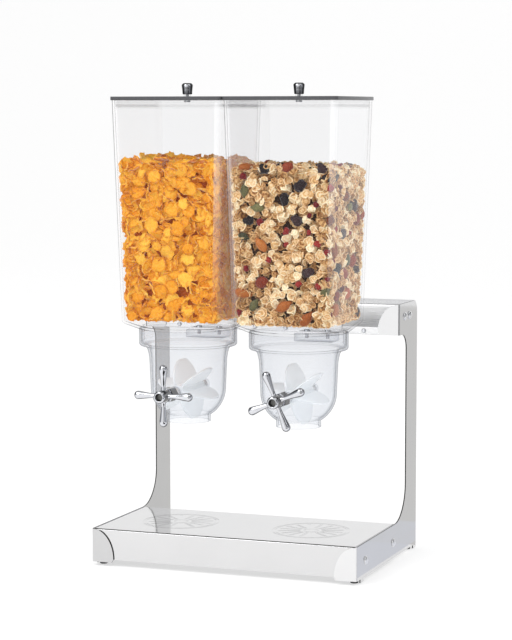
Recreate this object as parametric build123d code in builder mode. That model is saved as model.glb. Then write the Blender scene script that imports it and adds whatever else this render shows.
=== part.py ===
"""Double cereal dispenser: a folded steel stand that carries two clear canisters over two dispensing cups.

Millimetres. +X is to the right, +Y to the back, +Z up. The origin lies on the table, under the middle of the object.
"""
from build123d import *
import os
from math import cos, radians, sin

os.makedirs("parts", exist_ok=True)

# Stand, folded from polished sheet
BASE_WIDTH = 350.0
BASE_DEPTH = 250.0
REAR_Y = 135.5
FOOT_HEIGHT = 5.0
SIDE_HEIGHT = 42.0
SHEET = 1.5
TRAY_DEPTH = 162.0
POST_WIDTH = 46.0
HEAD_DEPTH = 78.0
HEAD_TOP_Z = 326.0
HEAD_BOTTOM_Z = 286.5
POST_FOOT_RADIUS = 46.0
POST_HEAD_RADIUS = 20.0
HEAD_CORNER_RADIUS = 14.0
FLANGE_WIDTH = 27.0
FLANGE_STEP = 4.0
BEND_RADIUS = 2.0
FIT_GAP = 0.2
FRONT_GAP = 0.6

# Crossbar lips, and the hangers that hook over the lower one
LOWER_LIP = 9.5
UPPER_LIP = 3.5
HANGER_SHEET = 2.0
HANGER_HALF_WIDTH = 60.0
TONGUE_HALF_WIDTH = 24.0
TONGUE_Z = 289.0
LIP_SCREW_OFFSET = 53.0
LIP_SCREW_Z = 291.0
CUP_SCREW_OFFSET = 14.0

# Dispensing cups
AXIS_X = 74.0
AXIS_Y = -39.5
AXLE_Z = 220.0
CUP_WALL = 2.2
COLLAR_RADIUS = 61.8
COLLAR_TOP_Z = 297.0
COLLAR_BOTTOM_Z = 275.5
CUP_RADIUS = 47.6
BOWL_TOP_Z = 222.0
OUTLET_RADIUS = 28.1
OUTLET_TOP_Z = 188.5
CUP_BOTTOM_Z = 179.0
BOSS_RADIUS = 8.0
PAD_HALF_WIDTH = 26.0
PAD_REACH = 82.0
PAD_DEPTH = 10.0

# Canisters and lids
CANISTER_TOP_WIDTH = 146.6
CANISTER_FLOOR_WIDTH = 130.5
CANISTER_TOP_Z = 582.5
CANISTER_FLOOR_Z = 307.0
CANISTER_WALL = 3.0
TOP_CORNER = 8.0
FLOOR_CORNER = 10.0
NECK_RADIUS = 59.0
NECK_BORE = 56.5
NECK_BOTTOM_Z = 281.0
LID_WIDTH = 147.6
LID_CORNER = 5.0
LID_THICKNESS = 4.5
SKIRT_WIDTH = 139.0
SKIRT_CORNER = 6.0
SKIRT_WALL = 2.5
SKIRT_DEPTH = 10.0
SEAL_WIDTH = 139.6
SEAL_HEIGHT = 3.0
LID_KNOB_HEIGHT = 14.0
LID_KNOB_RADIUS = 7.1
LID_SPACER_HEIGHT = 3.0

# Turning parts
SHAFT_RADIUS = 4.0
SHAFT_FLAT = 3.3
RUNNING_GAP = 0.05
WHEEL_HUB_RADIUS = 8.0
WHEEL_HALF_LENGTH = 38.0
PETAL_TIP = 38.6
PETAL_THICKNESS = 2.4
PETAL_PLATES = 3
PETAL_LEAN = 14.0
HUB_FACE = -96.0
SPOKE_PLANE = -81.0
HUB_REAR = -72.0
SLEEVE_REAR = -54.0
HUB_RADIUS = 7.6
SPOKE_TIP = 38.6
SPOKE_END_RADIUS = 5.3
SPOKES = 4
SLEEVE_FLATS = 16.5
RIGHT_HANDLE_TURN = -22.5

# Fasteners
M5 = 2.5
M4 = 2.0
M3 = 1.5
HOLE_GAP = 0.1

# Engraved rosettes on the tray, one under each cup
ROSETTE_X = 88.0
ROSETTE_Y = -31.5
ROSETTE_RINGS = (48.5, 45.0, 9.0)
ROSETTE_RAYS = 16
RAY_INNER = 14.0
RAY_OUTER = 41.0
RAY_SPREAD = 1.3
ENGRAVING_WIDTH = 0.8
ENGRAVING_DEPTH = 0.25

# Places worked out from the sizes above
HALF_WIDTH = BASE_WIDTH / 2
FRONT_Y = REAR_Y - BASE_DEPTH
SIDE_TOP_Z = FOOT_HEIGHT + SIDE_HEIGHT
POST_FRONT_Y = REAR_Y - POST_WIDTH
HEAD_FRONT_Y = REAR_Y - HEAD_DEPTH
INNER_X = HALF_WIDTH - SHEET
TRAY_X = INNER_X - FIT_GAP
TRAY_FRONT_Y = FRONT_Y + SHEET + FRONT_GAP
TRAY_REAR_Y = FRONT_Y + TRAY_DEPTH
TRAY_EDGE_Z = FOOT_HEIGHT + 3.3
BAR_FRONT_Y = HEAD_FRONT_Y + SHEET + FIT_GAP
BAR_REAR_Y = REAR_Y - SHEET
BAR_TOP_Z = HEAD_TOP_Z - FIT_GAP
LIP_TOP_Z = HEAD_BOTTOM_Z + LOWER_LIP
FOOT_X = HALF_WIDTH - 8.5
FOOT_YS = (FRONT_Y + 17.0, REAR_Y - 13.0)
BASE_SCREWS = ((FRONT_Y + 35.0, 25.0), (FRONT_Y + 149.0, 25.0))
HEAD_SCREWS = ((HEAD_FRONT_Y + 24.0, 309.0), (HEAD_FRONT_Y + 44.0, 309.0))
CUP_SCREW_Y = AXIS_Y + PAD_REACH - 11.0
LID_TOP_Z = CANISTER_TOP_Z + LID_THICKNESS
SIDES = (("left", -1), ("right", 1))


def save(part, name):
    """Label a finished piece and write it."""
    part.label = name
    export_step(part, f"parts/{name}.step")


def block(low, high, mode=Mode.ADD):
    """Add or cut a box between two corners."""
    centre = tuple((a + b) / 2 for a, b in zip(low, high))
    size = [b - a for a, b in zip(low, high)]
    with Locations(centre):
        Box(*size, mode=mode)


def rod(start, end, axis, radius, mode=Mode.ADD):
    """Add or cut a round bar along a row axis, from start to an end coordinate on that axis."""
    direction = {"X": (1, 0, 0), "Y": (0, 1, 0), "Z": (0, 0, 1)}[axis]
    length = end - start["XYZ".index(axis)]
    centre = tuple(s + d * length / 2 for s, d in zip(start, direction))
    turn = {"X": (0, 90, 0), "Y": (90, 0, 0), "Z": (0, 0, 0)}[axis]
    with Locations(Location(centre, turn)):
        Cylinder(radius, abs(length), mode=mode)


def dome_screw(radius, head_radius, head_height, length):
    """A dome-headed screw: its head stands on z = 0 and its shank points down."""
    with BuildPart() as screw:
        with Locations((0, 0, head_height / 2)):
            Cylinder(head_radius, head_height)
        fillet(screw.edges().group_by(Axis.Z)[-1], head_height * 0.8)
        with Locations((0, 0, -length / 2)):
            Cylinder(radius, length)
    return screw.part


def hex_nut(radius, across_corners, height):
    """A hex nut that stands on z = 0."""
    with BuildPart() as nut:
        with BuildSketch():
            RegularPolygon(across_corners / 2, 6)
            Circle(radius + HOLE_GAP, mode=Mode.SUBTRACT)
        extrude(amount=height)
    return nut.part


def place(item, spots):
    """Group copies of one fastener, each at a point and a turn, in one node."""
    with BuildPart() as group:
        for point, turn in spots:
            with Locations(Location(point, turn)):
                add(item)
    return group.part


# Side panels: base side, post and head in one sheet, its front edges folded in


def front_flange(z_low, z_high, front_y):
    """The folded front edge of a right-hand panel, cut to a quarter ellipse."""
    arc_x = HALF_WIDTH - BEND_RADIUS
    arc_z = z_low + FLANGE_STEP
    with BuildSketch(Plane.XZ.offset(-front_y)) as flange:
        with BuildLine():
            curve = EllipticalCenterArc((arc_x, arc_z), FLANGE_WIDTH, z_high - arc_z, 90, arc_size=90)
            Polyline(curve @ 1, (arc_x - FLANGE_WIDTH + FLANGE_STEP / 2, z_low), (HALF_WIDTH, z_low))
            Polyline((HALF_WIDTH, z_low), (HALF_WIDTH, z_high), curve @ 0)
        make_face()
    extrude(flange.sketch, amount=-SHEET)


with BuildPart() as right_side_panel:
    with BuildSketch(Plane.YZ.offset(HALF_WIDTH)) as outline:
        with BuildLine():
            Polyline(
                (FRONT_Y, FOOT_HEIGHT),
                (REAR_Y, FOOT_HEIGHT),
                (REAR_Y, HEAD_TOP_Z),
                (HEAD_FRONT_Y, HEAD_TOP_Z),
                (HEAD_FRONT_Y, HEAD_BOTTOM_Z),
                (POST_FRONT_Y, HEAD_BOTTOM_Z),
                (POST_FRONT_Y, SIDE_TOP_Z),
                (FRONT_Y, SIDE_TOP_Z),
                close=True,
            )
        make_face()
        for corner, radius in (
            ((POST_FRONT_Y, SIDE_TOP_Z), POST_FOOT_RADIUS),
            ((POST_FRONT_Y, HEAD_BOTTOM_Z), POST_HEAD_RADIUS),
            ((REAR_Y, HEAD_TOP_Z), HEAD_CORNER_RADIUS),
        ):
            fillet(outline.vertices().sort_by_distance((*corner, 0))[0], radius)
        for tab_y in (FRONT_Y + 21.0, REAR_Y - 6.0):
            with Locations((tab_y, FOOT_HEIGHT - 1.0)):
                Rectangle(12.0, 6.4)
    extrude(amount=-SHEET)
    front_flange(FOOT_HEIGHT, SIDE_TOP_Z - 0.5, FRONT_Y)
    front_flange(HEAD_BOTTOM_Z, HEAD_TOP_Z - 0.5, HEAD_FRONT_Y)
    for front_y in (FRONT_Y, HEAD_FRONT_Y):
        fold = right_side_panel.edges().filter_by(Axis.Z).sort_by_distance((HALF_WIDTH, front_y, 0))
        fillet([e for e in fold if (e.center() - Vector(HALF_WIDTH, front_y, e.center().Z)).length < 0.01], BEND_RADIUS)
    for foot_y in FOOT_YS:
        block((INNER_X - 14.0, foot_y - 8.0, FOOT_HEIGHT), (INNER_X, foot_y + 8.0, FOOT_HEIGHT + SHEET))
        rod((FOOT_X, foot_y, FOOT_HEIGHT - 1), FOOT_HEIGHT + 3, "Z", M5, mode=Mode.SUBTRACT)
    for screw_y, screw_z in BASE_SCREWS + HEAD_SCREWS:
        rod((INNER_X - 1, screw_y, screw_z), HALF_WIDTH + 1, "X", M5 + HOLE_GAP, mode=Mode.SUBTRACT)
save(right_side_panel.part, "right_side_panel")

with BuildPart() as left_side_panel:
    mirror(right_side_panel.part, about=Plane.YZ)
save(left_side_panel.part, "left_side_panel")

# Base plate: an upturned tray between the side panels, with the engraved rosettes


def rosette(centre_x):
    """Two rim rings, a plain centre and pairs of rays."""
    with Locations((centre_x, ROSETTE_Y)):
        for radius in ROSETTE_RINGS:
            Circle(radius + ENGRAVING_WIDTH / 2)
            Circle(radius - ENGRAVING_WIDTH / 2, mode=Mode.SUBTRACT)
    for ray in range(ROSETTE_RAYS):
        angle = radians(360 / ROSETTE_RAYS * ray)
        middle = (RAY_INNER + RAY_OUTER) / 2
        for side in (-RAY_SPREAD, RAY_SPREAD):
            x = centre_x + middle * cos(angle) - side * sin(angle)
            y = ROSETTE_Y + middle * sin(angle) + side * cos(angle)
            with Locations(Location((x, y), (0, 0, 360 / ROSETTE_RAYS * ray))):
                Rectangle(RAY_OUTER - RAY_INNER, ENGRAVING_WIDTH)


with BuildPart() as base_plate:
    block((-TRAY_X, TRAY_FRONT_Y, TRAY_EDGE_Z), (TRAY_X, TRAY_REAR_Y, SIDE_TOP_Z))
    fillet(base_plate.edges().group_by(Axis.Z)[-1], BEND_RADIUS)
    block(
        (-TRAY_X + SHEET, TRAY_FRONT_Y + SHEET, TRAY_EDGE_Z - 1),
        (TRAY_X - SHEET, TRAY_REAR_Y - SHEET, SIDE_TOP_Z - SHEET),
        mode=Mode.SUBTRACT,
    )
    for screw_y, screw_z in BASE_SCREWS:
        rod((-TRAY_X - 1, screw_y, screw_z), TRAY_X + 1, "X", M5 + HOLE_GAP, mode=Mode.SUBTRACT)
    for sign in (-1, 1):
        with BuildSketch(Plane.XY.offset(SIDE_TOP_Z)):
            rosette(sign * ROSETTE_X)
        extrude(amount=-ENGRAVING_DEPTH, mode=Mode.SUBTRACT)
save(base_plate.part, "base_plate")

# Crossbar: an open channel between the heads, with a lip above and below its mouth

with BuildPart() as crossbar:
    block((-TRAY_X, BAR_FRONT_Y, HEAD_BOTTOM_Z), (TRAY_X, BAR_REAR_Y, BAR_TOP_Z))
    fillet(crossbar.edges().filter_by(Axis.X), BEND_RADIUS)
    block(
        (-TRAY_X - 1, BAR_FRONT_Y + SHEET, HEAD_BOTTOM_Z + SHEET),
        (TRAY_X + 1, BAR_REAR_Y - SHEET, BAR_TOP_Z - SHEET),
        mode=Mode.SUBTRACT,
    )
    block(
        (-TRAY_X - 1, BAR_FRONT_Y - 1, LIP_TOP_Z),
        (TRAY_X + 1, BAR_FRONT_Y + SHEET + 1, BAR_TOP_Z - UPPER_LIP),
        mode=Mode.SUBTRACT,
    )
    for sign in (-1, 1):
        block(
            (min(sign * TRAY_X, sign * (TRAY_X - SHEET)), HEAD_FRONT_Y + 16.0, HEAD_BOTTOM_Z + SHEET + 0.5),
            (max(sign * TRAY_X, sign * (TRAY_X - SHEET)), BAR_REAR_Y - SHEET, BAR_TOP_Z - SHEET - 0.5),
        )
        for offset in (-LIP_SCREW_OFFSET, LIP_SCREW_OFFSET):
            rod(
                (sign * AXIS_X + offset, BAR_FRONT_Y - 1, LIP_SCREW_Z),
                BAR_FRONT_Y + SHEET + 1, "Y", M3 + HOLE_GAP, mode=Mode.SUBTRACT,
            )
    for screw_y, screw_z in HEAD_SCREWS:
        rod((-TRAY_X - 1, screw_y, screw_z), TRAY_X + 1, "X", M5 + HOLE_GAP, mode=Mode.SUBTRACT)
save(crossbar.part, "crossbar")

# Fasteners of the stand

panel_screw = dome_screw(M5, 5.4, 3.0, 10.0)
panel_nut = hex_nut(M5, 9.2, 4.0)
lip_screw = dome_screw(M3, 2.9, 1.9, 8.0)
lip_nut = hex_nut(M3, 6.2, 2.4)
cup_screw = dome_screw(M4, 3.9, 2.4, 9.0)
for kind, spots in (("base", BASE_SCREWS), ("crossbar", HEAD_SCREWS)):
    ends = [(sign, y, z) for _, sign in SIDES for y, z in spots]
    screws = place(panel_screw, [((s * HALF_WIDTH, y, z), (0, s * 90, 0)) for s, y, z in ends])
    nuts = place(panel_nut, [((s * (TRAY_X - SHEET), y, z), (0, -s * 90, 0)) for s, y, z in ends])
    save(screws, f"{kind}_screws")
    save(nuts, f"{kind}_nuts")
lip_xs = [sign * AXIS_X + offset for _, sign in SIDES for offset in (-LIP_SCREW_OFFSET, LIP_SCREW_OFFSET)]
nut_y = BAR_FRONT_Y + SHEET + FIT_GAP + HANGER_SHEET
save(place(lip_screw, [((x, BAR_FRONT_Y, LIP_SCREW_Z), (90, 0, 0)) for x in lip_xs]), "hanger_screws")
save(place(lip_nut, [((x, nut_y, LIP_SCREW_Z), (-90, 0, 0)) for x in lip_xs]), "hanger_nuts")
tongue_top = TONGUE_Z + HANGER_SHEET
cup_screw_xs = [sign * AXIS_X + offset for _, sign in SIDES for offset in (-CUP_SCREW_OFFSET, CUP_SCREW_OFFSET)]
save(place(cup_screw, [((x, CUP_SCREW_Y, tongue_top), (0, 0, 0)) for x in cup_screw_xs]), "cup_screws")

# Rubber feet, pushed into the folded tabs of the side panels

with BuildPart() as foot:
    with Locations((0, 0, FOOT_HEIGHT / 2)):
        Cylinder(5.0, FOOT_HEIGHT)
    fillet(foot.edges().group_by(Axis.Z)[0], 1.0)
    rod((0, 0, FOOT_HEIGHT), FOOT_HEIGHT + SHEET, "Z", M5 - HOLE_GAP)
    rod((0, 0, FOOT_HEIGHT + SHEET), FOOT_HEIGHT + SHEET + 1.4, "Z", 3.3)
save(place(foot.part, [((s * FOOT_X, y, 0), (0, 0, 0)) for _, s in SIDES for y in FOOT_YS]), "feet")


# Dispensing cup: collar, flared body, bowl and outlet in one clear moulding


def cup_outline(wall):
    """Half of the cup's outline as (radius, height) lines, from the collar's top to the outlet; wall 0 is outside."""
    collar = COLLAR_RADIUS - wall
    ledge_z = COLLAR_BOTTOM_Z + wall
    body = CUP_RADIUS - wall
    outlet = OUTLET_RADIUS - wall
    shoulder = outlet + (0.0 if wall else 2.1)
    throat = body + 4.4
    top = (collar, COLLAR_TOP_Z + wall)
    rim = Line(top, (collar, ledge_z + 3.0))
    corner = RadiusArc(rim @ 1, (collar - 3.0, ledge_z), 3.0)
    ledge = Line(corner @ 1, (throat + 3.2, ledge_z))
    flare = ThreePointArc(ledge @ 1, (throat - 0.6, ledge_z - 5.0), (body + 2.0, ledge_z - 14.0))
    side = Line(flare @ 1, (body, BOWL_TOP_Z))
    bowl = ThreePointArc(side @ 1, (body - 3.9, BOWL_TOP_Z - 17.0), (shoulder, OUTLET_TOP_Z))
    step = [Line(bowl @ 1, (outlet, OUTLET_TOP_Z))] if shoulder > outlet else []
    last = step[-1] if step else bowl
    spout = Line(last @ 1, (outlet, CUP_BOTTOM_Z - wall))
    Polyline(spout @ 1, (0, CUP_BOTTOM_Z - wall), (0, COLLAR_TOP_Z + wall), top)


def revolved_cup(plane, axis, wall, mode):
    """Turn one outline of the cup about its upright axis."""
    with BuildSketch(plane) as profile:
        with BuildLine():
            cup_outline(wall)
        make_face()
    revolve(profile.sketch, axis=axis, mode=mode)


def make_cup(name, x):
    """One dispensing cup, with its axle bosses and its pad for the hanger."""
    plane = Plane(origin=(x, AXIS_Y, 0), x_dir=(1, 0, 0), z_dir=(0, -1, 0))
    axis = Axis((x, AXIS_Y, 0), (0, 0, 1))
    with BuildPart() as cup:
        revolved_cup(plane, axis, 0.0, Mode.ADD)
        block(
            (x - PAD_HALF_WIDTH, AXIS_Y + COLLAR_RADIUS / 2, TONGUE_Z - PAD_DEPTH),
            (x + PAD_HALF_WIDTH, AXIS_Y + PAD_REACH, TONGUE_Z),
        )
        rod((x, AXIS_Y - 51.5, AXLE_Z), AXIS_Y + 53.0, "Y", BOSS_RADIUS)
        revolved_cup(plane, axis, CUP_WALL, Mode.SUBTRACT)
        rod((x, AXIS_Y - 60.0, AXLE_Z), AXIS_Y + 50.5, "Y", 6.05, mode=Mode.SUBTRACT)
        for offset in (-CUP_SCREW_OFFSET, CUP_SCREW_OFFSET):
            rod((x + offset, CUP_SCREW_Y, TONGUE_Z - 8.0), TONGUE_Z + 1, "Z", M4 + RUNNING_GAP, mode=Mode.SUBTRACT)
        with Locations((x, AXIS_Y, COLLAR_TOP_Z - 4.5)):
            with PolarLocations(COLLAR_RADIUS - 1.0, 4, start_angle=-50):
                Box(8.0, 16.0, 3.4, mode=Mode.SUBTRACT)
    save(cup.part, name)


def make_hanger(name, x):
    """A folded plate behind the crossbar's lip, hooked over it and run forward as a tongue on the cup's pad."""
    rear_y = BAR_FRONT_Y + SHEET + FIT_GAP
    hook_y = BAR_FRONT_Y - FIT_GAP - HANGER_SHEET
    hook_z = LIP_TOP_Z + FIT_GAP
    wide = HANGER_HALF_WIDTH
    narrow = TONGUE_HALF_WIDTH
    with BuildPart() as hanger:
        block((x - wide, rear_y, HEAD_BOTTOM_Z + SHEET + FIT_GAP), (x + wide, rear_y + HANGER_SHEET, LIP_TOP_Z))
        block((x - narrow, rear_y, LIP_TOP_Z - 1), (x + narrow, rear_y + HANGER_SHEET, hook_z + HANGER_SHEET))
        block((x - narrow, hook_y, hook_z), (x + narrow, rear_y + HANGER_SHEET, hook_z + HANGER_SHEET))
        block((x - narrow, hook_y, TONGUE_Z), (x + narrow, hook_y + HANGER_SHEET, hook_z + HANGER_SHEET))
        block((x - narrow, AXIS_Y + COLLAR_RADIUS + 1.5, TONGUE_Z), (x + narrow, hook_y + 1, TONGUE_Z + HANGER_SHEET))
        for offset in (-LIP_SCREW_OFFSET, LIP_SCREW_OFFSET):
            rod((x + offset, rear_y - 1, LIP_SCREW_Z), rear_y + 4, "Y", M3 + HOLE_GAP, mode=Mode.SUBTRACT)
        for offset in (-CUP_SCREW_OFFSET, CUP_SCREW_OFFSET):
            rod((x + offset, CUP_SCREW_Y, TONGUE_Z - 1), TONGUE_Z + 4, "Z", M4 + HOLE_GAP, mode=Mode.SUBTRACT)
    save(hanger.part, name)


def make_bushes(side, x):
    """The axle's two bushes, pressed into the cup's bosses."""
    with BuildPart() as front_bush:
        rod((x, AXIS_Y - 53.2, AXLE_Z), AXIS_Y - 51.5, "Y", 7.5)
        rod((x, AXIS_Y - 51.5, AXLE_Z), AXIS_Y - 43.0, "Y", 6.0)
        rod((x, AXIS_Y - 54.0, AXLE_Z), AXIS_Y - 42.0, "Y", SHAFT_RADIUS + RUNNING_GAP, mode=Mode.SUBTRACT)
    save(front_bush.part, f"{side}_front_bush")
    with BuildPart() as rear_bush:
        rod((x, AXIS_Y + 43.0, AXLE_Z), AXIS_Y + 50.4, "Y", 6.0)
        rod((x, AXIS_Y + 42.0, AXLE_Z), AXIS_Y + 51.0, "Y", SHAFT_RADIUS + RUNNING_GAP, mode=Mode.SUBTRACT)
    save(rear_bush.part, f"{side}_rear_bush")


# Canister: a tapered square tube with a shallow floor and a round neck


def tapered_solid(x, inset, floor_z, neck_width, neck_z, mode):
    """A square body that widens upwards, joined to a funnel that ends nearly round; inset 0 is the outside."""
    neck = (neck_z, neck_width, neck_width / 2 - 0.1)
    floor = (floor_z, CANISTER_FLOOR_WIDTH - 2 * inset, FLOOR_CORNER - inset)
    mouth = (CANISTER_TOP_Z, CANISTER_TOP_WIDTH - 2 * inset, TOP_CORNER - inset)
    for low, high in ((neck, floor), (floor, mouth)):
        sections = []
        for z, width, radius in (low, high):
            with BuildSketch(Plane((x, AXIS_Y, z))) as section:
                RectangleRounded(width, width, radius)
            sections.append(section.sketch)
        loft(sections, ruled=True, mode=mode)


def make_canister(name, x):
    """One clear canister."""
    shoulder_z = COLLAR_TOP_Z
    with BuildPart() as canister:
        tapered_solid(x, 0.0, CANISTER_FLOOR_Z, 2 * COLLAR_RADIUS + 1.0, shoulder_z, Mode.ADD)
        rod((x, AXIS_Y, NECK_BOTTOM_Z), shoulder_z + 1, "Z", NECK_RADIUS)
        tapered_solid(
            x, CANISTER_WALL, CANISTER_FLOOR_Z + CANISTER_WALL / 2,
            2 * NECK_BORE, shoulder_z + CANISTER_WALL - 0.5, Mode.SUBTRACT,
        )
        rod((x, AXIS_Y, NECK_BOTTOM_Z - 1), shoulder_z + 3.5, "Z", NECK_BORE, mode=Mode.SUBTRACT)
    save(canister.part, name)


def make_lid(side, x):
    """The lid with its skirt, seal, knob, knob spacer and screw."""
    seal_low = CANISTER_TOP_Z - 8.0
    seal_inside = SKIRT_WIDTH - SKIRT_WALL + 0.5
    skirt_inside = SKIRT_WIDTH - 2 * SKIRT_WALL
    with BuildPart() as lid:
        with BuildSketch(Plane((x, AXIS_Y, CANISTER_TOP_Z))):
            RectangleRounded(LID_WIDTH, LID_WIDTH, LID_CORNER)
        extrude(amount=LID_THICKNESS)
        fillet(lid.edges().group_by(Axis.Z)[-1], 0.8)
        with BuildSketch(Plane((x, AXIS_Y, CANISTER_TOP_Z - SKIRT_DEPTH))):
            RectangleRounded(SKIRT_WIDTH, SKIRT_WIDTH, SKIRT_CORNER)
            RectangleRounded(skirt_inside, skirt_inside, SKIRT_CORNER - SKIRT_WALL, mode=Mode.SUBTRACT)
        extrude(amount=SKIRT_DEPTH)
        with BuildSketch(Plane((x, AXIS_Y, seal_low))):
            RectangleRounded(SKIRT_WIDTH + 4, SKIRT_WIDTH + 4, SKIRT_CORNER)
            RectangleRounded(seal_inside, seal_inside, SKIRT_CORNER - 1, mode=Mode.SUBTRACT)
        extrude(amount=SEAL_HEIGHT, mode=Mode.SUBTRACT)
        rod((x, AXIS_Y, CANISTER_TOP_Z - 1), LID_TOP_Z + 1, "Z", M4 + RUNNING_GAP, mode=Mode.SUBTRACT)
    save(lid.part, f"{side}_lid")
    with BuildPart() as seal:
        with BuildSketch(Plane((x, AXIS_Y, seal_low))):
            RectangleRounded(SEAL_WIDTH, SEAL_WIDTH, SKIRT_CORNER + 0.3)
            RectangleRounded(seal_inside, seal_inside, SKIRT_CORNER - 1, mode=Mode.SUBTRACT)
        extrude(amount=SEAL_HEIGHT)
    save(seal.part, f"{side}_lid_seal")
    with BuildPart() as spacer:
        rod((x, AXIS_Y, LID_TOP_Z), LID_TOP_Z + LID_SPACER_HEIGHT, "Z", 4.6)
        rod((x, AXIS_Y, LID_TOP_Z - 1), LID_TOP_Z + 5, "Z", M4 + RUNNING_GAP, mode=Mode.SUBTRACT)
    save(spacer.part, f"{side}_lid_spacer")
    knob_z = LID_TOP_Z + LID_SPACER_HEIGHT
    plane = Plane(origin=(x, AXIS_Y, 0), x_dir=(1, 0, 0), z_dir=(0, -1, 0))
    with BuildPart() as knob:
        with BuildSketch(plane):
            with BuildLine():
                Polyline(
                    (0, knob_z),
                    (LID_KNOB_RADIUS - 1.4, knob_z),
                    (LID_KNOB_RADIUS - 0.9, knob_z + 0.5),
                    (LID_KNOB_RADIUS, knob_z + LID_KNOB_HEIGHT - 2.4),
                    (LID_KNOB_RADIUS - 1.6, knob_z + LID_KNOB_HEIGHT),
                    (0, knob_z + LID_KNOB_HEIGHT),
                    close=True,
                )
            make_face()
        revolve(axis=Axis((x, AXIS_Y, 0), (0, 0, 1)))
        rod((x, AXIS_Y, knob_z - 1), knob_z + 8.5, "Z", M4 + RUNNING_GAP, mode=Mode.SUBTRACT)
    save(knob.part, f"{side}_lid_knob")
    with BuildPart() as screw:
        rod((x, AXIS_Y, CANISTER_TOP_Z - 2.2), CANISTER_TOP_Z, "Z", 4.0)
        rod((x, AXIS_Y, CANISTER_TOP_Z - 1), knob_z + 8.0, "Z", M4)
    save(screw.part, f"{side}_lid_screw")


# Turning parts, drawn on an axle along Y and then set in the cup


def flatted_circle(radius, flat):
    """A round section with one flat, which drives the piece on it."""
    Circle(radius)
    with Locations((0, flat + radius)):
        Rectangle(2 * radius, 2 * radius, mode=Mode.SUBTRACT)


def flatted_rod(y_start, y_end, radius, flat, mode=Mode.ADD):
    """Add or cut a round bar with one flat, along Y."""
    with BuildSketch(Plane.XZ.offset(-y_start)) as section:
        flatted_circle(radius, flat)
    extrude(section.sketch, amount=-(y_end - y_start), mode=mode)


with BuildPart() as shaft:
    flatted_rod(SPOKE_PLANE - 3.0, 49.5, SHAFT_RADIUS, SHAFT_FLAT)
    rod((0, SPOKE_PLANE - 4.0, 0), SPOKE_PLANE + 9.0, "Y", M4 + RUNNING_GAP, mode=Mode.SUBTRACT)

with BuildPart() as paddle_wheel:
    rod((0, -WHEEL_HALF_LENGTH + 2, 0), WHEEL_HALF_LENGTH - 2, "Y", WHEEL_HUB_RADIUS)
    for number in range(PETAL_PLATES):
        angle = radians(90 + PETAL_LEAN + 180 / PETAL_PLATES * number)
        radial = (cos(angle), 0, sin(angle))
        normal = Vector(0, 1, 0).cross(Vector(*radial))
        with BuildSketch(Plane(origin=(0, 0, 0), x_dir=(0, 1, 0), z_dir=normal)) as petal:
            half = [(31.0, 0.0), (38.0, 10.0), (34.0, 22.0), (25.0, 31.0), (12.0, PETAL_TIP)]
            with BuildLine():
                Polyline(
                    *half,
                    *[(-y, r) for y, r in half[::-1]],
                    *[(-y, -r) for y, r in half[1:]],
                    *[(y, -r) for y, r in half[:0:-1]],
                    close=True,
                )
            make_face()
            fillet([v for v in petal.vertices() if abs(v.Y) > 15], 6.0)
        extrude(amount=PETAL_THICKNESS / 2, both=True)


def bored_wheel(turn):
    """The wheel turned on the axle, with its bore left in line with the axle's flat."""
    with BuildPart() as wheel:
        with Locations(Location((0, 0, 0), (0, turn, 0))):
            add(paddle_wheel.part)
        flatted_rod(
            -WHEEL_HALF_LENGTH, WHEEL_HALF_LENGTH,
            SHAFT_RADIUS + RUNNING_GAP, SHAFT_FLAT + RUNNING_GAP, mode=Mode.SUBTRACT,
        )
    return wheel.part


with BuildPart() as sleeve:
    with BuildSketch(Plane.XZ.offset(-HUB_REAR)):
        RegularPolygon(SLEEVE_FLATS / 2, 6, major_radius=False)
    extrude(amount=-(SLEEVE_REAR - HUB_REAR))
    chamfer(sleeve.edges().group_by(Axis.Y)[0] + sleeve.edges().group_by(Axis.Y)[-1], 0.8)
    flatted_rod(
        HUB_REAR - 1, SLEEVE_REAR + 1,
        SHAFT_RADIUS + RUNNING_GAP, SHAFT_FLAT + RUNNING_GAP, mode=Mode.SUBTRACT,
    )

with BuildPart() as spoke:
    with BuildSketch(Plane.XZ):
        with BuildLine():
            neck = Line((0, 4.0), (2.9, 4.0))
            waist = Line(neck @ 1, (2.6, 9.5))
            flank = ThreePointArc(waist @ 1, (3.7, 21.0), (SPOKE_END_RADIUS, SPOKE_TIP - SPOKE_END_RADIUS))
            CenterArc((0, SPOKE_TIP - SPOKE_END_RADIUS), SPOKE_END_RADIUS, 0, 90)
            Line((0, SPOKE_TIP), (0, 4.0))
        make_face()
    revolve(axis=Axis.Z)

with BuildPart() as handle:
    rod((0, HUB_FACE, 0), HUB_REAR, "Y", HUB_RADIUS)
    chamfer(handle.edges().group_by(Axis.Y)[0] + handle.edges().group_by(Axis.Y)[-1], 1.2)
    for number in range(SPOKES):
        with Locations(Location((0, SPOKE_PLANE, 0), (0, 360 / SPOKES * number, 0))):
            add(spoke.part)
    rod((0, HUB_FACE - 1, 0), HUB_FACE + 8.0, "Y", 4.6, mode=Mode.SUBTRACT)
    rod((0, HUB_FACE, 0), SPOKE_PLANE, "Y", M4 + HOLE_GAP, mode=Mode.SUBTRACT)
    flatted_rod(
        SPOKE_PLANE - 3.0, HUB_REAR + 1,
        SHAFT_RADIUS + RUNNING_GAP, SHAFT_FLAT + RUNNING_GAP, mode=Mode.SUBTRACT,
    )

with BuildPart() as handle_screw:
    rod((0, HUB_FACE + 5.2, 0), HUB_FACE + 8.0, "Y", 3.9)
    rod((0, HUB_FACE + 8.0, 0), SPOKE_PLANE + 8.0, "Y", M4)


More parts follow.
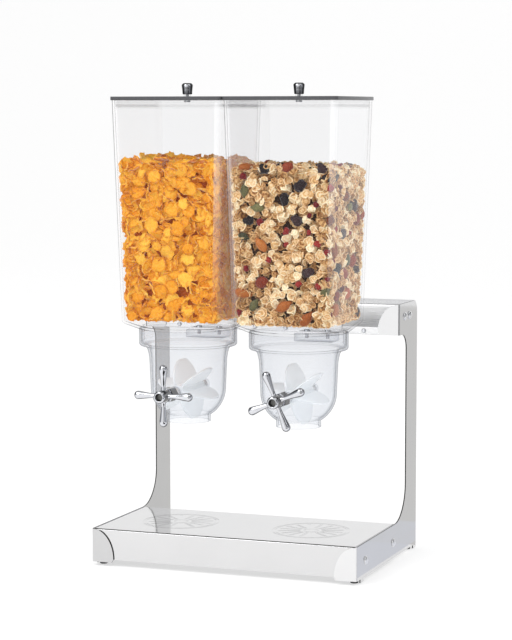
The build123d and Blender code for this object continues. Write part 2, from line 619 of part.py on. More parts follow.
def make_rotor(side, x, handle_turn):
    """Set the wheel, shaft, sleeve, handle and handle screw in one cup."""
    for item, name in (
        (bored_wheel(-handle_turn), "paddle_wheel"),
        (shaft.part, "shaft"),
        (sleeve.part, "sleeve"),
        (handle.part, "handle"),
        (handle_screw.part, "handle_screw"),
    ):
        with BuildPart() as placed:
            with Locations(Location((x, AXIS_Y, AXLE_Z), (0, handle_turn, 0))):
                add(item)
        save(placed.part, f"{side}_{name}")


for side, sign in SIDES:
    make_cup(f"{side}_cup", sign * AXIS_X)
    make_hanger(f"{side}_hanger", sign * AXIS_X)
    make_bushes(side, sign * AXIS_X)
    make_canister(f"{side}_canister", sign * AXIS_X)
    make_lid(side, sign * AXIS_X)
    make_rotor(side, sign * AXIS_X, RIGHT_HANDLE_TURN if side == "right" else 0.0)
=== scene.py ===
import math
import random

import bpy
import numpy as np
from bpy.props import FloatProperty, FloatVectorProperty, IntProperty, PointerProperty
from mathutils import Matrix, Vector


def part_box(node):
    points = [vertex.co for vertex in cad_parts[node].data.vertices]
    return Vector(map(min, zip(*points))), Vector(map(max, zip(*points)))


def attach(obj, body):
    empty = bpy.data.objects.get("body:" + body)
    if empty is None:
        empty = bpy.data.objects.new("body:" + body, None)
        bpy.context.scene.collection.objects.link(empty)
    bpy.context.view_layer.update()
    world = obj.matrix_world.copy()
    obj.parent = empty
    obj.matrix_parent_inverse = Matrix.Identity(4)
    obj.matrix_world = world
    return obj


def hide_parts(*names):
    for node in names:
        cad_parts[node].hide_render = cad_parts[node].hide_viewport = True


bl_info = {
    "name": "Double cereal dispenser",
    "version": (1, 0, 0),
    "blender": (4, 5, 0),
    "location": "View3D > Sidebar > Dispenser",
    "description": "Dresses the packed dispenser: clear canisters and cups, chrome, steel and cereal",
    "category": "Object",
}

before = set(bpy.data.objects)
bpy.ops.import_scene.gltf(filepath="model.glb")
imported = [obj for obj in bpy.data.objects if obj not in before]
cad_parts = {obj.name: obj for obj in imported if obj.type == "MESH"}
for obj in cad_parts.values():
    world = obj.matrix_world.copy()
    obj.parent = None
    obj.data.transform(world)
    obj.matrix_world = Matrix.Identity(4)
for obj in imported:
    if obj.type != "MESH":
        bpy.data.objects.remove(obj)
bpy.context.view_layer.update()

SIDES = ("left", "right")

# Fixed measures, in metres

SLACK = 0.00001
CORNER_RADIUS = 0.009
INNER_CORNER_RADIUS = 0.007
CUP_RIM = 0.297
OUTLET_BOTTOM = 0.179
BOWL_RADIUS = 0.0409
BOWL_CENTRE = 0.222
KNOB_PLANE = -0.081
CEREAL_ROOM = 0.0003
FLOOR_REACH = 7

# The camera: turn in degrees, place and aim, lens and shift in pixels, sensor in millimetres

CAMERA_TURN = 20.28
CAMERA_PLACE = (0.9619, -2.5464, 0.5680)
CAMERA_AIM = (-0.3449, 0.9334, -0.0990)
PICTURE_HEIGHT = 640
FOCAL_LENGTH = 2157.5
SHIFT = (-13.63, 6.74)
SENSOR_WIDTH = 36


def axis_of(side):
    """The upright axis of one side's cup and canister, as (x, y) in metres."""
    low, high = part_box(f"{side}_front_bush")
    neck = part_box(f"{side}_canister")
    return (low.x + high.x) / 2, (neck[0].y + neck[1].y) / 2


def axle_height():
    """The height of the knobs' axles above the table, in metres."""
    low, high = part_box("left_front_bush")
    return (low.z + high.z) / 2


# Settings that a user would change


class StandSettings(bpy.types.PropertyGroup):
    steel_colour: FloatVectorProperty(
        name="Steel colour", description="Colour of the polished sheet", subtype="COLOR", size=3,
        min=0, max=1, default=(0.715, 0.715, 0.72))
    steel_roughness: FloatProperty(
        name="Steel roughness", description="How soft the sheet's reflections are",
        min=0, max=1, default=0.09)
    sheet: FloatProperty(
        name="Sheet", description="Thickness of the stand's sheet", unit="LENGTH", default=0.0015)
    chrome_colour: FloatVectorProperty(
        name="Chrome colour", description="Colour of the knobs, screws and spokes",
        subtype="COLOR", size=3,
        min=0, max=1, default=(0.68, 0.69, 0.725))
    screw_radius: FloatProperty(
        name="Screw head radius", description="Radius of the stand's dome screws",
        unit="LENGTH", default=0.0054)


class CanisterSettings(bpy.types.PropertyGroup):
    top_width: FloatProperty(
        name="Top width", description="Outer width at the lid", unit="LENGTH", default=0.1466)
    floor_width: FloatProperty(
        name="Floor width", description="Outer width at the floor", unit="LENGTH", default=0.1305)
    top_height: FloatProperty(
        name="Rim height", description="Height of the rim above the table",
        unit="LENGTH", default=0.5825)
    floor_height: FloatProperty(
        name="Floor height", description="Height of the floor's edge above the table",
        unit="LENGTH", default=0.307)
    wall: FloatProperty(
        name="Wall", description="Thickness of the clear wall", unit="LENGTH", default=0.003)
    plastic_colour: FloatVectorProperty(
        name="Plastic tint", description="What one wall lets through", subtype="COLOR", size=3,
        min=0, max=1, default=(0.975, 0.975, 0.977))
    lid_colour: FloatVectorProperty(
        name="Lid colour", description="Smoky plastic of the lids", subtype="COLOR", size=3,
        min=0, max=1, default=(0.040, 0.040, 0.043))


class CupSettings(bpy.types.PropertyGroup):
    wall: FloatProperty(
        name="Wall", description="Thickness of the cup's wall", unit="LENGTH", default=0.0022)
    collar_radius: FloatProperty(
        name="Collar radius", description="Outer radius of the collar", unit="LENGTH", default=0.0618)
    body_radius: FloatProperty(
        name="Body radius", description="Outer radius of the cup's body", unit="LENGTH", default=0.0476)
    outlet_radius: FloatProperty(
        name="Outlet radius", description="Outer radius of the outlet", unit="LENGTH", default=0.0281)
    petal_tip: FloatProperty(
        name="Petal tip", description="From the axle to a petal's tip", unit="LENGTH", default=0.0383)
    petal_lean: FloatProperty(
        name="Petal lean", description="How far the wheel is turned from an upright petal",
        subtype="ANGLE", default=math.radians(14))
    petal_bend: FloatProperty(
        name="Petal bend", description="How far each soft petal is cupped",
        subtype="ANGLE", default=math.radians(7))
    wheel_colour: FloatVectorProperty(
        name="Wheel colour", description="Soft white of the paddle wheel", subtype="COLOR", size=3,
        min=0, max=1, default=(0.885, 0.905, 0.92))


class KnobSettings(bpy.types.PropertyGroup):
    spoke_reach: FloatProperty(
        name="Spoke reach", description="From the axle to a spoke's tip", unit="LENGTH", default=0.0386)
    hub_radius: FloatProperty(
        name="Hub radius", description="Radius of the knob's hub", unit="LENGTH", default=0.0076)
    right_turn: FloatProperty(
        name="Right knob's turn", description="How far the right knob is turned at rest",
        subtype="ANGLE",
        default=math.radians(-22.5))


class CerealSettings(bpy.types.PropertyGroup):
    flake_size: FloatProperty(
        name="Cornflake size", description="Mean radius of a cornflake", unit="LENGTH", default=0.0105)
    oat_size: FloatProperty(
        name="Oat size", description="Mean radius of an oat flake", unit="LENGTH", default=0.0057)
    left_level: FloatProperty(
        name="Left level", description="Height of the cornflakes above the table",
        unit="LENGTH", default=0.508)
    right_level: FloatProperty(
        name="Right level", description="Height of the muesli above the table",
        unit="LENGTH", default=0.499)
    seed: IntProperty(name="Seed", description="Changes how the cereal lies", default=7)


class StageSettings(bpy.types.PropertyGroup):
    floor_colour: FloatVectorProperty(
        name="Floor colour", description="Pale floor and backdrop", subtype="COLOR", size=3,
        min=0, max=1, default=(0.46, 0.46, 0.46))
    floor_glow: FloatProperty(
        name="Floor glow", description="Light of the floor itself, which softens the shadow",
        default=0.56)
    world_strength: FloatProperty(
        name="Room light", description="Even light from all sides", default=0.8)
    key_power: FloatProperty(
        name="Main light", description="Power of the large soft light", default=75.0)


# Modelling helpers


def edit_all():
    """Enter edit mode with the whole mesh selected."""
    bpy.ops.object.mode_set(mode="EDIT")
    bpy.ops.mesh.select_all(action="SELECT")


def leave_edit():
    """Go back to object mode."""
    bpy.ops.object.mode_set(mode="OBJECT")


def clear_selection():
    """Leave edit mode and select nothing."""
    if bpy.context.object is not None and bpy.context.object.mode != "OBJECT":
        leave_edit()
    bpy.ops.object.select_all(action="DESELECT")


def active(obj):
    """Make obj the only selected object."""
    clear_selection()
    obj.select_set(True)
    bpy.context.view_layer.objects.active = obj


def begin(name, kind, **options):
    """Add a primitive, put its place into its mesh and name it."""
    clear_selection()
    getattr(bpy.ops.mesh, f"primitive_{kind}_add")(**options)
    obj = bpy.context.object
    bpy.ops.object.transform_apply(location=True, rotation=True, scale=True)
    obj.name = obj.data.name = name
    return obj


def block(name, centre, sizes):
    """A cuboid."""
    return begin(name, "cube", size=1, location=centre, scale=sizes)


def pick(obj, kind, test):
    """In edit mode, select just the vertices, edges or faces of obj that pass a test."""
    bpy.ops.object.mode_set(mode="EDIT")
    bpy.ops.mesh.select_mode(type={"vertices": "VERT", "edges": "EDGE", "polygons": "FACE"}[kind])
    bpy.ops.mesh.select_all(action="DESELECT")
    leave_edit()
    for item in getattr(obj.data, kind):
        item.select = bool(test(item))
    bpy.ops.object.mode_set(mode="EDIT")


def near_height(obj, z):
    """A test for edges that lie flat at one height."""
    points = obj.data.vertices
    return lambda edge: all(abs(points[i].co.z - z) < SLACK for i in edge.vertices)


def upright(obj, least=0.001):
    """A test for edges that rise by more than a least height."""
    points = obj.data.vertices
    return lambda edge: abs(points[edge.vertices[0]].co.z - points[edge.vertices[1]].co.z) > least


def bevel(obj, test, offset, segments):
    """Round the edges of obj that pass a test."""
    pick(obj, "edges", test)
    bpy.ops.mesh.bevel(offset=offset, segments=segments, affect="EDGES")
    leave_edit()


def open_ends(obj):
    """Take the level faces out of a tube."""
    pick(obj, "polygons", lambda face: abs(face.normal.z) > 0.9)
    bpy.ops.mesh.delete(type="ONLY_FACE")
    leave_edit()


def store(mesh, name, values):
    """Give each vertex a value that a material can read."""
    mesh.attributes.new(name, "FLOAT", "POINT").data.foreach_set("value", values)


def modify(obj, kind, **options):
    """Add a modifier and apply it at once."""
    active(obj)
    modifier = obj.modifiers.new(kind.title(), kind)
    for key, value in options.items():
        setattr(modifier, key, value)
    bpy.ops.object.modifier_apply(modifier=modifier.name)


def smooth(obj, angle):
    """Shade smooth, with edges sharper than the angle kept."""
    active(obj)
    bpy.ops.object.shade_smooth_by_angle(angle=math.radians(angle))
    return obj


def face_outwards(obj):
    """Close doubles and turn the faces outwards."""
    active(obj)
    edit_all()
    bpy.ops.mesh.remove_doubles(threshold=1e-6)
    bpy.ops.mesh.normals_make_consistent(inside=False)
    leave_edit()
    return obj


def join(name, pieces):
    """Join pieces into one object."""
    clear_selection()
    for piece in pieces:
        piece.select_set(True)
    bpy.context.view_layer.objects.active = pieces[0]
    bpy.ops.object.join()
    pieces[0].name = pieces[0].data.name = name
    return pieces[0]


def copy_of(obj, name, matrix):
    """A copy with its own mesh, moved in the mesh itself."""
    clear_selection()
    twin = obj.copy()
    twin.data = obj.data.copy()
    twin.name = twin.data.name = name
    bpy.context.collection.objects.link(twin)
    twin.data.transform(matrix)
    twin.data.update()
    return twin


def drop(*objects):
    """Remove patterns that copies were made from."""
    for obj in objects:
        bpy.data.objects.remove(obj)


def drawn(name, points):
    """Draw a chain of edges from a first vertex, and stay in edit mode with all of it selected."""
    obj = begin(name, "plane", size=0.002, location=points[0])
    bpy.ops.object.mode_set(mode="EDIT")
    bpy.ops.mesh.select_mode(type="VERT")
    bpy.ops.mesh.select_all(action="SELECT")
    bpy.ops.mesh.merge(type="CENTER")
    for start, end in zip(points, points[1:]):
        bpy.ops.mesh.extrude_vertices_move(TRANSFORM_OT_translate={"value": end - start})
    bpy.ops.mesh.select_all(action="SELECT")
    return obj


def turned(name, profile, centre, axis, out, steps):
    """Draw a profile of (radius, along) points, then spin it about an axis through centre."""
    centre, axis, out = Vector(centre), Vector(axis), Vector(out)
    obj = drawn(name, [centre + out * radius + axis * along for radius, along in profile])
    bpy.ops.mesh.spin(steps=steps, angle=2 * math.pi, center=centre, axis=axis)
    return face_outwards(obj)


def rounded(profile, radius, steps):
    """Round the inner corners of a profile with short arcs."""
    result = [profile[0]]
    for before, corner, after in zip(profile, profile[1:], profile[2:]):
        a, b, c = Vector(before), Vector(corner), Vector(after)
        into, away = a - b, c - b
        reach = min(radius, into.length * 0.45, away.length * 0.45)
        start, end = b + into.normalized() * reach, b + away.normalized() * reach
        for i in range(steps + 1):
            t = i / steps
            result.append(tuple((1 - t) ** 2 * start + 2 * t * (1 - t) * b + t * t * end))
    return result + [profile[-1]]


def fill(obj, body, material):
    """Finish one kind of cereal; the metal's reflections leave it out, as the photograph's do."""
    obj.visible_glossy = False
    finish(obj, body, material)


def finish(obj, body, material, nodes=()):
    """Give a piece its material, its body and the CAD nodes it stands for."""
    obj.data.materials.clear()
    obj.data.materials.append(material)
    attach(obj, body)
    if nodes:
        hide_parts(*nodes)


# Materials


def shaded(colour, share):
    """A colour made darker or lighter by a share."""
    return [c * share for c in colour]


class Shading:
    """A new material with short calls that add and join its nodes."""

    def __init__(self, name):
        self.material = bpy.data.materials.new(name)
        self.material.use_nodes = True
        self.tree = self.material.node_tree
        self.shader = self.tree.nodes["Principled BSDF"]
        self.output = self.tree.nodes["Material Output"]

    def node(self, kind, inputs=None, **settings):
        """Add a node; an input is a value or another node's output."""
        node = self.tree.nodes.new(kind)
        for key, value in settings.items():
            setattr(node, key, value)
        for key, value in (inputs or {}).items():
            self.feed(node.inputs[key], value)
        return node

    def feed(self, socket, value):
        """Join an output to a socket, or set the socket's own value."""
        if isinstance(value, bpy.types.NodeSocket):
            self.tree.links.new(value, socket)
        else:
            socket.default_value = value

    def set(self, **values):
        """Set or join the main shader's inputs; underscores stand for spaces."""
        for key, value in values.items():
            self.feed(self.shader.inputs[key.replace("_", " ")], value)

    def place(self, scale=(1, 1, 1)):
        """Object coordinates, stretched."""
        where = self.node("ShaderNodeTexCoord")
        mapping = self.node("ShaderNodeMapping", {"Vector": where.outputs["Object"], "Scale": scale})
        return mapping.outputs["Vector"]

    def noise(self, scale, detail, stretch=(1, 1, 1)):
        """Noise on Object coordinates."""
        return self.node("ShaderNodeTexNoise", {
            "Vector": self.place(stretch), "Scale": scale, "Detail": detail, "Roughness": 0.55,
        }).outputs["Fac"]

    def facing(self):
        """0 where the surface is seen face on, 1 where it is seen edge-on."""
        return self.node("ShaderNodeLayerWeight", {"Blend": 0.5}).outputs["Facing"]

    def maths(self, operation, *values):
        """One step of arithmetic."""
        return self.node("ShaderNodeMath", dict(enumerate(values)), operation=operation).outputs[0]

    def spread(self, value, low, high, start=0.0, end=1.0):
        """Map a value from start..end to low..high."""
        return self.node("ShaderNodeMapRange", {
            "Value": value, "From Min": start, "From Max": end, "To Min": low, "To Max": high,
        }).outputs["Result"]

    def ramp(self, value, stops):
        """Colours along a value; a plain number is a grey."""
        node = self.node("ShaderNodeValToRGB", {"Fac": value})
        ramp = node.color_ramp
        while len(ramp.elements) < len(stops):
            ramp.elements.new(1.0)
        for element, (position, colour) in zip(ramp.elements, stops):
            element.position = position
            element.color = (colour, colour, colour, 1.0) if isinstance(colour, float) else (*colour, 1.0)
        return node.outputs["Color"]

    def mottled(self, cloud, dark, light):
        """Clouds between two near colours."""
        return self.ramp(cloud, [(0.3, dark), (0.7, light)])

    def tone(self, name):
        """A piece's own attribute."""
        return self.node("ShaderNodeAttribute", attribute_name=name).outputs["Fac"]

    def bump(self, height, strength, distance):
        """Bump into the main shader."""
        node = self.node("ShaderNodeBump", {"Height": height, "Strength": strength, "Distance": distance})
        self.set(Normal=node.outputs["Normal"])


def polished_steel(name, colour, roughness):
    """Polished sheet with faint lines along its length and soft clouds in its gloss."""
    s = Shading(name)
    lines = s.noise(900, 2, (0.03, 1, 1))
    clouds = s.noise(14, 3)
    gloss = s.maths("ADD", lines, clouds)
    s.set(Metallic=1.0, Roughness=s.spread(gloss, roughness * 0.6, roughness * 1.4, 0.6, 1.4))
    s.set(Base_Color=s.mottled(clouds, shaded(colour, 0.97), colour))
    s.bump(lines, 0.05, 0.00004)
    return s.material


def bright_chrome(name, colour, edges):
    """Plated metal, nearly a mirror, whose colour darkens towards its edges as painted shade."""
    s = Shading(name)
    haze = s.noise(60, 3)
    plate = s.mottled(haze, shaded(colour, 0.96), colour)
    # Painted shade: the facing ramp darkens the plate's colour where the surface is seen edge-on.
    painted_edge_colour = s.node("ShaderNodeVectorMath", {0: plate, 1: s.ramp(s.facing(), edges)}, operation="MULTIPLY")
    s.set(Metallic=1.0, Base_Color=painted_edge_colour.outputs[0], Roughness=s.spread(haze, 0.03, 0.075, 0.3, 0.7))
    return s.material


def zinc_steel(name):
    """Dull plated steel for nuts and shafts."""
    s = Shading(name)
    grain = s.noise(500, 3)
    s.set(Metallic=1.0, Base_Color=s.mottled(grain, (0.50, 0.51, 0.53), (0.64, 0.65, 0.67)))
    s.set(Roughness=s.spread(grain, 0.22, 0.38, 0.3, 0.7))
    s.bump(grain, 0.1, 0.00003)
    return s.material


def clear_plastic(name, tints, covers, edges=()):
    """Clear moulded plastic: what it lets through and how much white haze covers it, from face on to
    edge-on.

    Towards edge-on the tints darken as painted dark outlines and the haze grows as a painted sheen. The
    piece's corner attribute says where the tints of edges stand in as painted dark lines, with a painted
    white glow and extra haze as a painted highlight.
    """
    s = Shading(name)
    facing = s.facing()
    shade, haze_and_painted_sheen = s.ramp(facing, tints), s.ramp(facing, covers)
    # Corners: painted dark lines in what passes through, extra haze as a painted highlight and a painted
    # white glow.
    if edges:
        corner = s.tone("corner")
        edge = s.ramp(facing, edges)
        shade = s.node("ShaderNodeMix", {0: corner, 6: shade, 7: edge}, data_type="RGBA").outputs[2]
        haze_and_painted_sheen = s.maths("MULTIPLY_ADD", corner, s.spread(facing, 0.15, 0.0, 0.55, 0.68), haze_and_painted_sheen)
        s.set(Emission_Color=(1, 1, 1, 1), Emission_Strength=0.3)
    through = s.node("ShaderNodeBsdfTransparent", {"Color": shade})
    haze = s.noise(35, 2)
    s.set(Base_Color=s.mottled(haze, (0.84, 0.85, 0.87), (0.93, 0.93, 0.94)))
    s.set(Roughness=s.spread(haze, 0.03, 0.08, 0.3, 0.7), IOR=1.49)
    mix = s.node("ShaderNodeMixShader", {0: haze_and_painted_sheen, 1: through.outputs[0], 2: s.shader.outputs[0]})
    s.feed(s.output.inputs["Surface"], mix.outputs[0])
    return s.material


def smoky_lid(name, colour):
    """Smoky lid plastic with two fine lines round its edge: lighter bands painted by height as highlights
    on the plate's edge.
    """
    s = Shading(name)
    where = s.node("ShaderNodeSeparateXYZ", {"Vector": s.place()}).outputs["Z"]
    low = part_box("left_canister")[1].z
    band = s.spread(where, 0.0, 1.0, low, low + 0.0045)
    soft = shaded(colour, 2.3)
    # Painted highlights: the edge band is lighter in two fine lines, with darker colour between them and at
    # the ends.
    edge = s.ramp(band, [(0.0, colour), (0.18, shaded(colour, 1.5)), (0.32, soft), (0.45, soft),
                         (0.52, shaded(colour, 1.1)), (0.62, soft), (0.8, soft), (1.0, colour)])
    s.set(Base_Color=edge, Roughness=s.spread(s.noise(40, 2), 0.08, 0.16), IOR=1.49, Alpha=0.95)
    s.set(Specular_IOR_Level=0.3)
    return s.material


def soft_silicone(name, colour, alpha=1.0, glow=0.0):
    """Soft white moulding; a glow, if given, is a painted glow of its own colour."""
    s = Shading(name)
    cloud = s.noise(50, 3)
    s.set(Base_Color=s.mottled(cloud, shaded(colour, 0.95), colour), Roughness=s.spread(cloud, 0.35, 0.5))
    s.set(Subsurface_Weight=0.3, Subsurface_Radius=(0.006, 0.006, 0.006), Alpha=alpha)
    # Painted glow: the moulding emits its own colour.
    s.set(Emission_Color=(*colour, 1.0), Emission_Strength=glow)
    s.bump(s.noise(400, 2), 0.06, 0.00005)
    return s.material


def black_rubber(name):
    """Matt rubber."""
    s = Shading(name)
    grain = s.noise(900, 3)
    s.set(Base_Color=s.mottled(grain, 0.012, 0.03), Roughness=s.spread(grain, 0.6, 0.85))
    s.bump(grain, 0.2, 0.00005)
    return s.material


def grain_food(name, dark, middle, light, scale, bumps, roughness, blister=0.0, rings=(), glow=0.06):
    """Toasted or dried food: a tone for each piece, mottled, with a rough skin."""
    s = Shading(name)
    mixed = s.maths("ADD", s.noise(scale, 4), s.tone("tone"))
    # The rim lightens the piece towards its edge, partly toasted rims and partly a painted highlight; the
    # rings ramp adds painted shade near the rim.
    rim = s.tone("rim")
    if rings:
        rim = s.ramp(rim, rings)
    value = s.spread(s.maths("MULTIPLY_ADD", rim, 0.5, mixed), 0.0, 1.0, 0.6, 1.8)
    colour = s.ramp(value, [(0.0, dark), (0.45, middle), (1.0, light)])
    # The food's colour is also emitted: a painted glow that lifts its shade.
    s.set(Base_Color=colour, Emission_Color=colour, Emission_Strength=glow)
    s.set(Roughness=roughness, Specular_IOR_Level=0.25)
    s.set(Subsurface_Weight=0.08, Subsurface_Radius=(0.002, 0.001, 0.0005))
    height = s.noise(scale * 2.2, 4)
    if blister:
        cells = s.node("ShaderNodeTexVoronoi", {"Vector": s.place(), "Scale": blister}, feature="SMOOTH_F1")
        height = s.maths("SUBTRACT", height, cells.outputs["Distance"])
    s.bump(height, 0.8, bumps)
    return s.material


def cut_edge(name, low, high):
    """Dark metal for a cut edge or a recess: duller metal, painted much darker as shade."""
    s = Shading(name)
    grain = s.noise(700, 3)
    s.set(Metallic=1.0, Base_Color=s.mottled(grain, (low, low, low * 0.96), (high, high, high * 0.96)))
    s.set(Roughness=s.spread(grain, 0.35, 0.55))
    return s.material


# The steel stand: CAD sheets with their finish, and its dome screws


def mark(node, material, test):
    """Give the faces of a CAD node that pass a test a second finish."""
    points = node.data.vertices
    node.data.materials.append(material)
    slot = len(node.data.materials) - 1
    for face in node.data.polygons:
        if test(face.normal, [points[i].co for i in face.vertices]):
            face.material_index = slot


def mark_cut_edges(node, material, sheet):
    """Give the faces across the sheet's thickness the cut edge's dark finish: duller metal, partly painted
    shade.
    """
    low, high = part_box(node.name)
    outer = max(abs(low.x), abs(high.x))
    fold = 0.0035

    def across(normal, corners):
        side = abs(normal.x) < 0.5 and all(abs(p.x) > outer - sheet - SLACK for p in corners)
        front = abs(normal.y) < 0.5 and all(p.y < low.y + sheet + SLACK for p in corners)
        bend = all(abs(p.x) > outer - fold and p.y < low.y + fold for p in corners)
        return (side and node.name != "crossbar" or front) and not (bend and abs(normal.z) < 0.5)

    mark(node, material, across)


class DISPENSER_OT_stand(bpy.types.Operator):
    """Finish the steel sheets, nuts, bushes and feet"""
    bl_idname = "dispenser.stand"
    bl_label = "Stand"

    def execute(self, context):
        look = context.scene.dispenser_stand
        steel = polished_steel("polished_steel", look.steel_colour, look.steel_roughness)
        # The ramps paint dark edges on the chrome as shade; the knob chrome's dark edges start sooner and
        # go darker.
        chrome = bright_chrome(
            "bright_chrome", look.chrome_colour, [(0.0, 1.0), (0.34, 1.0), (0.56, 0.3), (1.0, 0.1)])
        bright_chrome(
            "knob_chrome", look.chrome_colour, [(0.0, 1.0), (0.17, 1.0), (0.27, 0.1), (1.0, 0.03)])
        zinc = zinc_steel("zinc_steel")
        white = soft_silicone("white_bush", (0.85, 0.85, 0.84))
        rubber = black_rubber("black_rubber")
        # Edge-on the ring gets painted darker outlines and a painted sheen.
        clear = clear_plastic("clear_ring", [(0.0, 0.99), (1.0, 0.86)], [(0.0, 0.02), (1.0, 0.1)])
        lid = smoky_lid("smoky_lid", context.scene.dispenser_canister.lid_colour)
        # The wheel gets a painted glow that makes it look lit through.
        wheel = soft_silicone("soft_wheel", context.scene.dispenser_cup.wheel_colour, 0.68, 0.16)
        # Lit and shaded copies of the steel: the side panels a little darker as painted shade; the crossbar
        # and hangers lighter as painted light, with a real satin roughness.
        darker = polished_steel("panel_steel", shaded(look.steel_colour, 0.98), look.steel_roughness)
        satin = polished_steel("channel_steel", shaded(look.steel_colour, 1.27), 0.34)
        finishes = {
            "base_plate": steel, "side_panel": darker, "crossbar": satin, "hanger": satin,
            "screws": chrome, "sleeve": chrome, "nuts": zinc, "shaft": zinc, "lid_screw": zinc,
            "handle_screw": zinc, "bush": white, "feet": rubber, "lid_spacer": clear, "lid_seal": clear,
            "lid": lid, "knob": chrome, "handle": chrome, "paddle_wheel": wheel, "cup": clear,
            "canister": clear,
        }
        endings = sorted(finishes, key=len, reverse=True)
        for name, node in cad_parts.items():
            node.data.materials.clear()
            node.data.materials.append(finishes[next(end for end in endings if name.endswith(end))])
        # Dark metal for the cut edges and the base's front bend, partly painted shade.
        edge = cut_edge("cut_edge", 0.035, 0.075)
        # The handle screw's recess gets a darker metal: painted shade in the hole.
        recess = cut_edge("recess_steel", 0.10, 0.20)

        def front_flange(normal, corners):
            return normal.y < -0.9 and all(p.z < 0.05 for p in corners)

        # Painted light and shade: each front flange gets a copy of the steel, darker on the left and
        # lighter on the right.
        for side, share in (("left", 0.86), ("right", 1.12)):
            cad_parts[f"{side}_handle_screw"].data.materials[0] = recess
            lit_or_shaded_colour = shaded(look.steel_colour, share)
            flange = polished_steel(f"{side}_flange_steel", lit_or_shaded_colour, look.steel_roughness)
            mark(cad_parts[f"{side}_side_panel"], flange, front_flange)
        for name in ("left_side_panel", "right_side_panel", "crossbar"):
            mark_cut_edges(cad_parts[name], edge, look.sheet)
        low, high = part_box("base_plate")
        fold = 0.0021

        # Painted reflection: the slanting faces of the base's front bend get the dark metal, a painted dark
        # line along the fold.
        def front_bend(normal, corners):
            slanted = 0.45 < normal.z < 0.97 and normal.y < 0
            return slanted and all(p.y < low.y + fold and p.z > high.z - fold for p in corners)

        mark(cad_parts["base_plate"], edge, front_bend)
        return {"FINISHED"}


class DISPENSER_OT_screws(bpy.types.Operator):
    """Model one dome screw and copy it to the eight places in the stand"""
    bl_idname = "dispenser.screws"
    bl_label = "Dome screws"

    def execute(self, context):
        radius = context.scene.dispenser_stand.screw_radius
        satin = polished_steel("screw_steel", (0.86, 0.86, 0.87), 0.3)
        dome = [(0, 0.0030), (radius * 0.35, 0.0028), (radius * 0.65, 0.0022), (radius * 0.88, 0.0014),
                (radius, 0.0006), (radius, 0), (0.0025, 0), (0.0025, -0.010), (0.0019, -0.0108),
                (0, -0.0108)]
        pattern = turned("dome_screw", rounded(dome, 0.0003, 2), (0, 0, 0), (0, 0, 1), (1, 0, 0), 32)
        smooth(pattern, 40)
        for node in ("base_screws", "crossbar_screws"):
            low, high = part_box(node)
            reach = (high.x - low.x) / 2 - 0.003
            copies = []
            for side, degrees in ((1, 90), (-1, -90)):
                turn = Matrix.Rotation(math.radians(degrees), 4, "Y")
                for y in (low.y + radius, high.y - radius):
                    place = Matrix.Translation((side * reach, y, (low.z + high.z) / 2))
                    copies.append(copy_of(pattern, f"{node}_copy", place @ turn))
            piece = join(f"{node}_domes", copies)
            finish(piece, "stand", satin, [node])
        drop(pattern)
        return {"FINISHED"}


# Clear canisters


def canister_shell(name, x, y, size):
    """A square tube with round corners that tapers to a shallow funnel and a round neck, as a skin."""
    shoulder, throat, lip = 0.0622, 0.059, 0.058
    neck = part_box("left_canister")[0].z
    rings = ((shoulder, CUP_RIM), (throat, CUP_RIM), (throat, neck + 0.001), (lip, neck))
    height = size.top_height - size.floor_height
    obj = block(name, (x, y, (size.top_height + size.floor_height) / 2),
                (size.top_width, size.top_width, height))
    pick(obj, "polygons", lambda f: f.normal.z < -0.9)
    ratio = size.floor_width / size.top_width
    bpy.ops.transform.resize(value=(ratio, ratio, 1), center_override=(x, y, size.floor_height))
    bevel(obj, upright(obj, height / 2), CORNER_RADIUS, 7)
    open_ends(obj)
    ring = sum(1 for v in obj.data.vertices if abs(v.co.z - size.floor_height) < SLACK)
    bpy.ops.object.mode_set(mode="EDIT")
    bpy.ops.mesh.select_mode(type="EDGE")
    bpy.ops.mesh.select_all(action="DESELECT")
    bpy.ops.mesh.primitive_circle_add(
        vertices=ring, radius=shoulder, location=(x, y, CUP_RIM), rotation=(0, 0, math.pi / ring))
    for (before, level), (radius, z) in zip(rings, rings[1:]):
        bpy.ops.mesh.extrude_region_move()
        bpy.ops.transform.resize(value=(radius / before, radius / before, 1), center_override=(x, y, level))
        bpy.ops.transform.translate(value=(0, 0, z - level))

    def open_rim(edge):
        ends = [obj.data.vertices[i].co for i in edge.vertices]
        floor = all(abs(p.z - size.floor_height) < SLACK for p in ends)
        level = all(abs(p.z - CUP_RIM) < SLACK for p in ends)
        circle = all(math.hypot(p.x - x, p.y - y) > shoulder - 0.0001 for p in ends)
        return floor or level and circle

    pick(obj, "edges", open_rim)
    bpy.ops.mesh.bridge_edge_loops()
    leave_edit()
    return obj


def outward_skin(obj, x, y):
    """Turn an open skin's faces away from its upright axis."""
    active(obj)
    edit_all()
    bpy.ops.mesh.normals_make_consistent(inside=False)
    leave_edit()
    side = sum((f.center.x - x) * f.normal.x + (f.center.y - y) * f.normal.y for f in obj.data.polygons)
    if side < 0:
        edit_all()
        bpy.ops.mesh.flip_normals()
        leave_edit()


def half_room(size, z):
    """Half the clear width inside a canister at a height."""
    share = (z - size.floor_height) / (size.top_height - size.floor_height)
    return (size.floor_width + (size.top_width - size.floor_width) * share) / 2 - size.wall


def painted_corner_share(size, across, along, z):
    """1 in the round front corners of the wall at height z, less in the back ones, 0 on its flats: the
    share of the painted corner lines, haze and glow.
    """
    bend_start, floor_edge, back_share = 0.0006, 0.004, 0.4
    flat = half_room(size, z) + size.wall - CORNER_RADIUS
    if min(abs(across), abs(along)) < flat + bend_start or z < size.floor_height + floor_edge:
        return 0.0
    return 1.0 if along < 0 else back_share


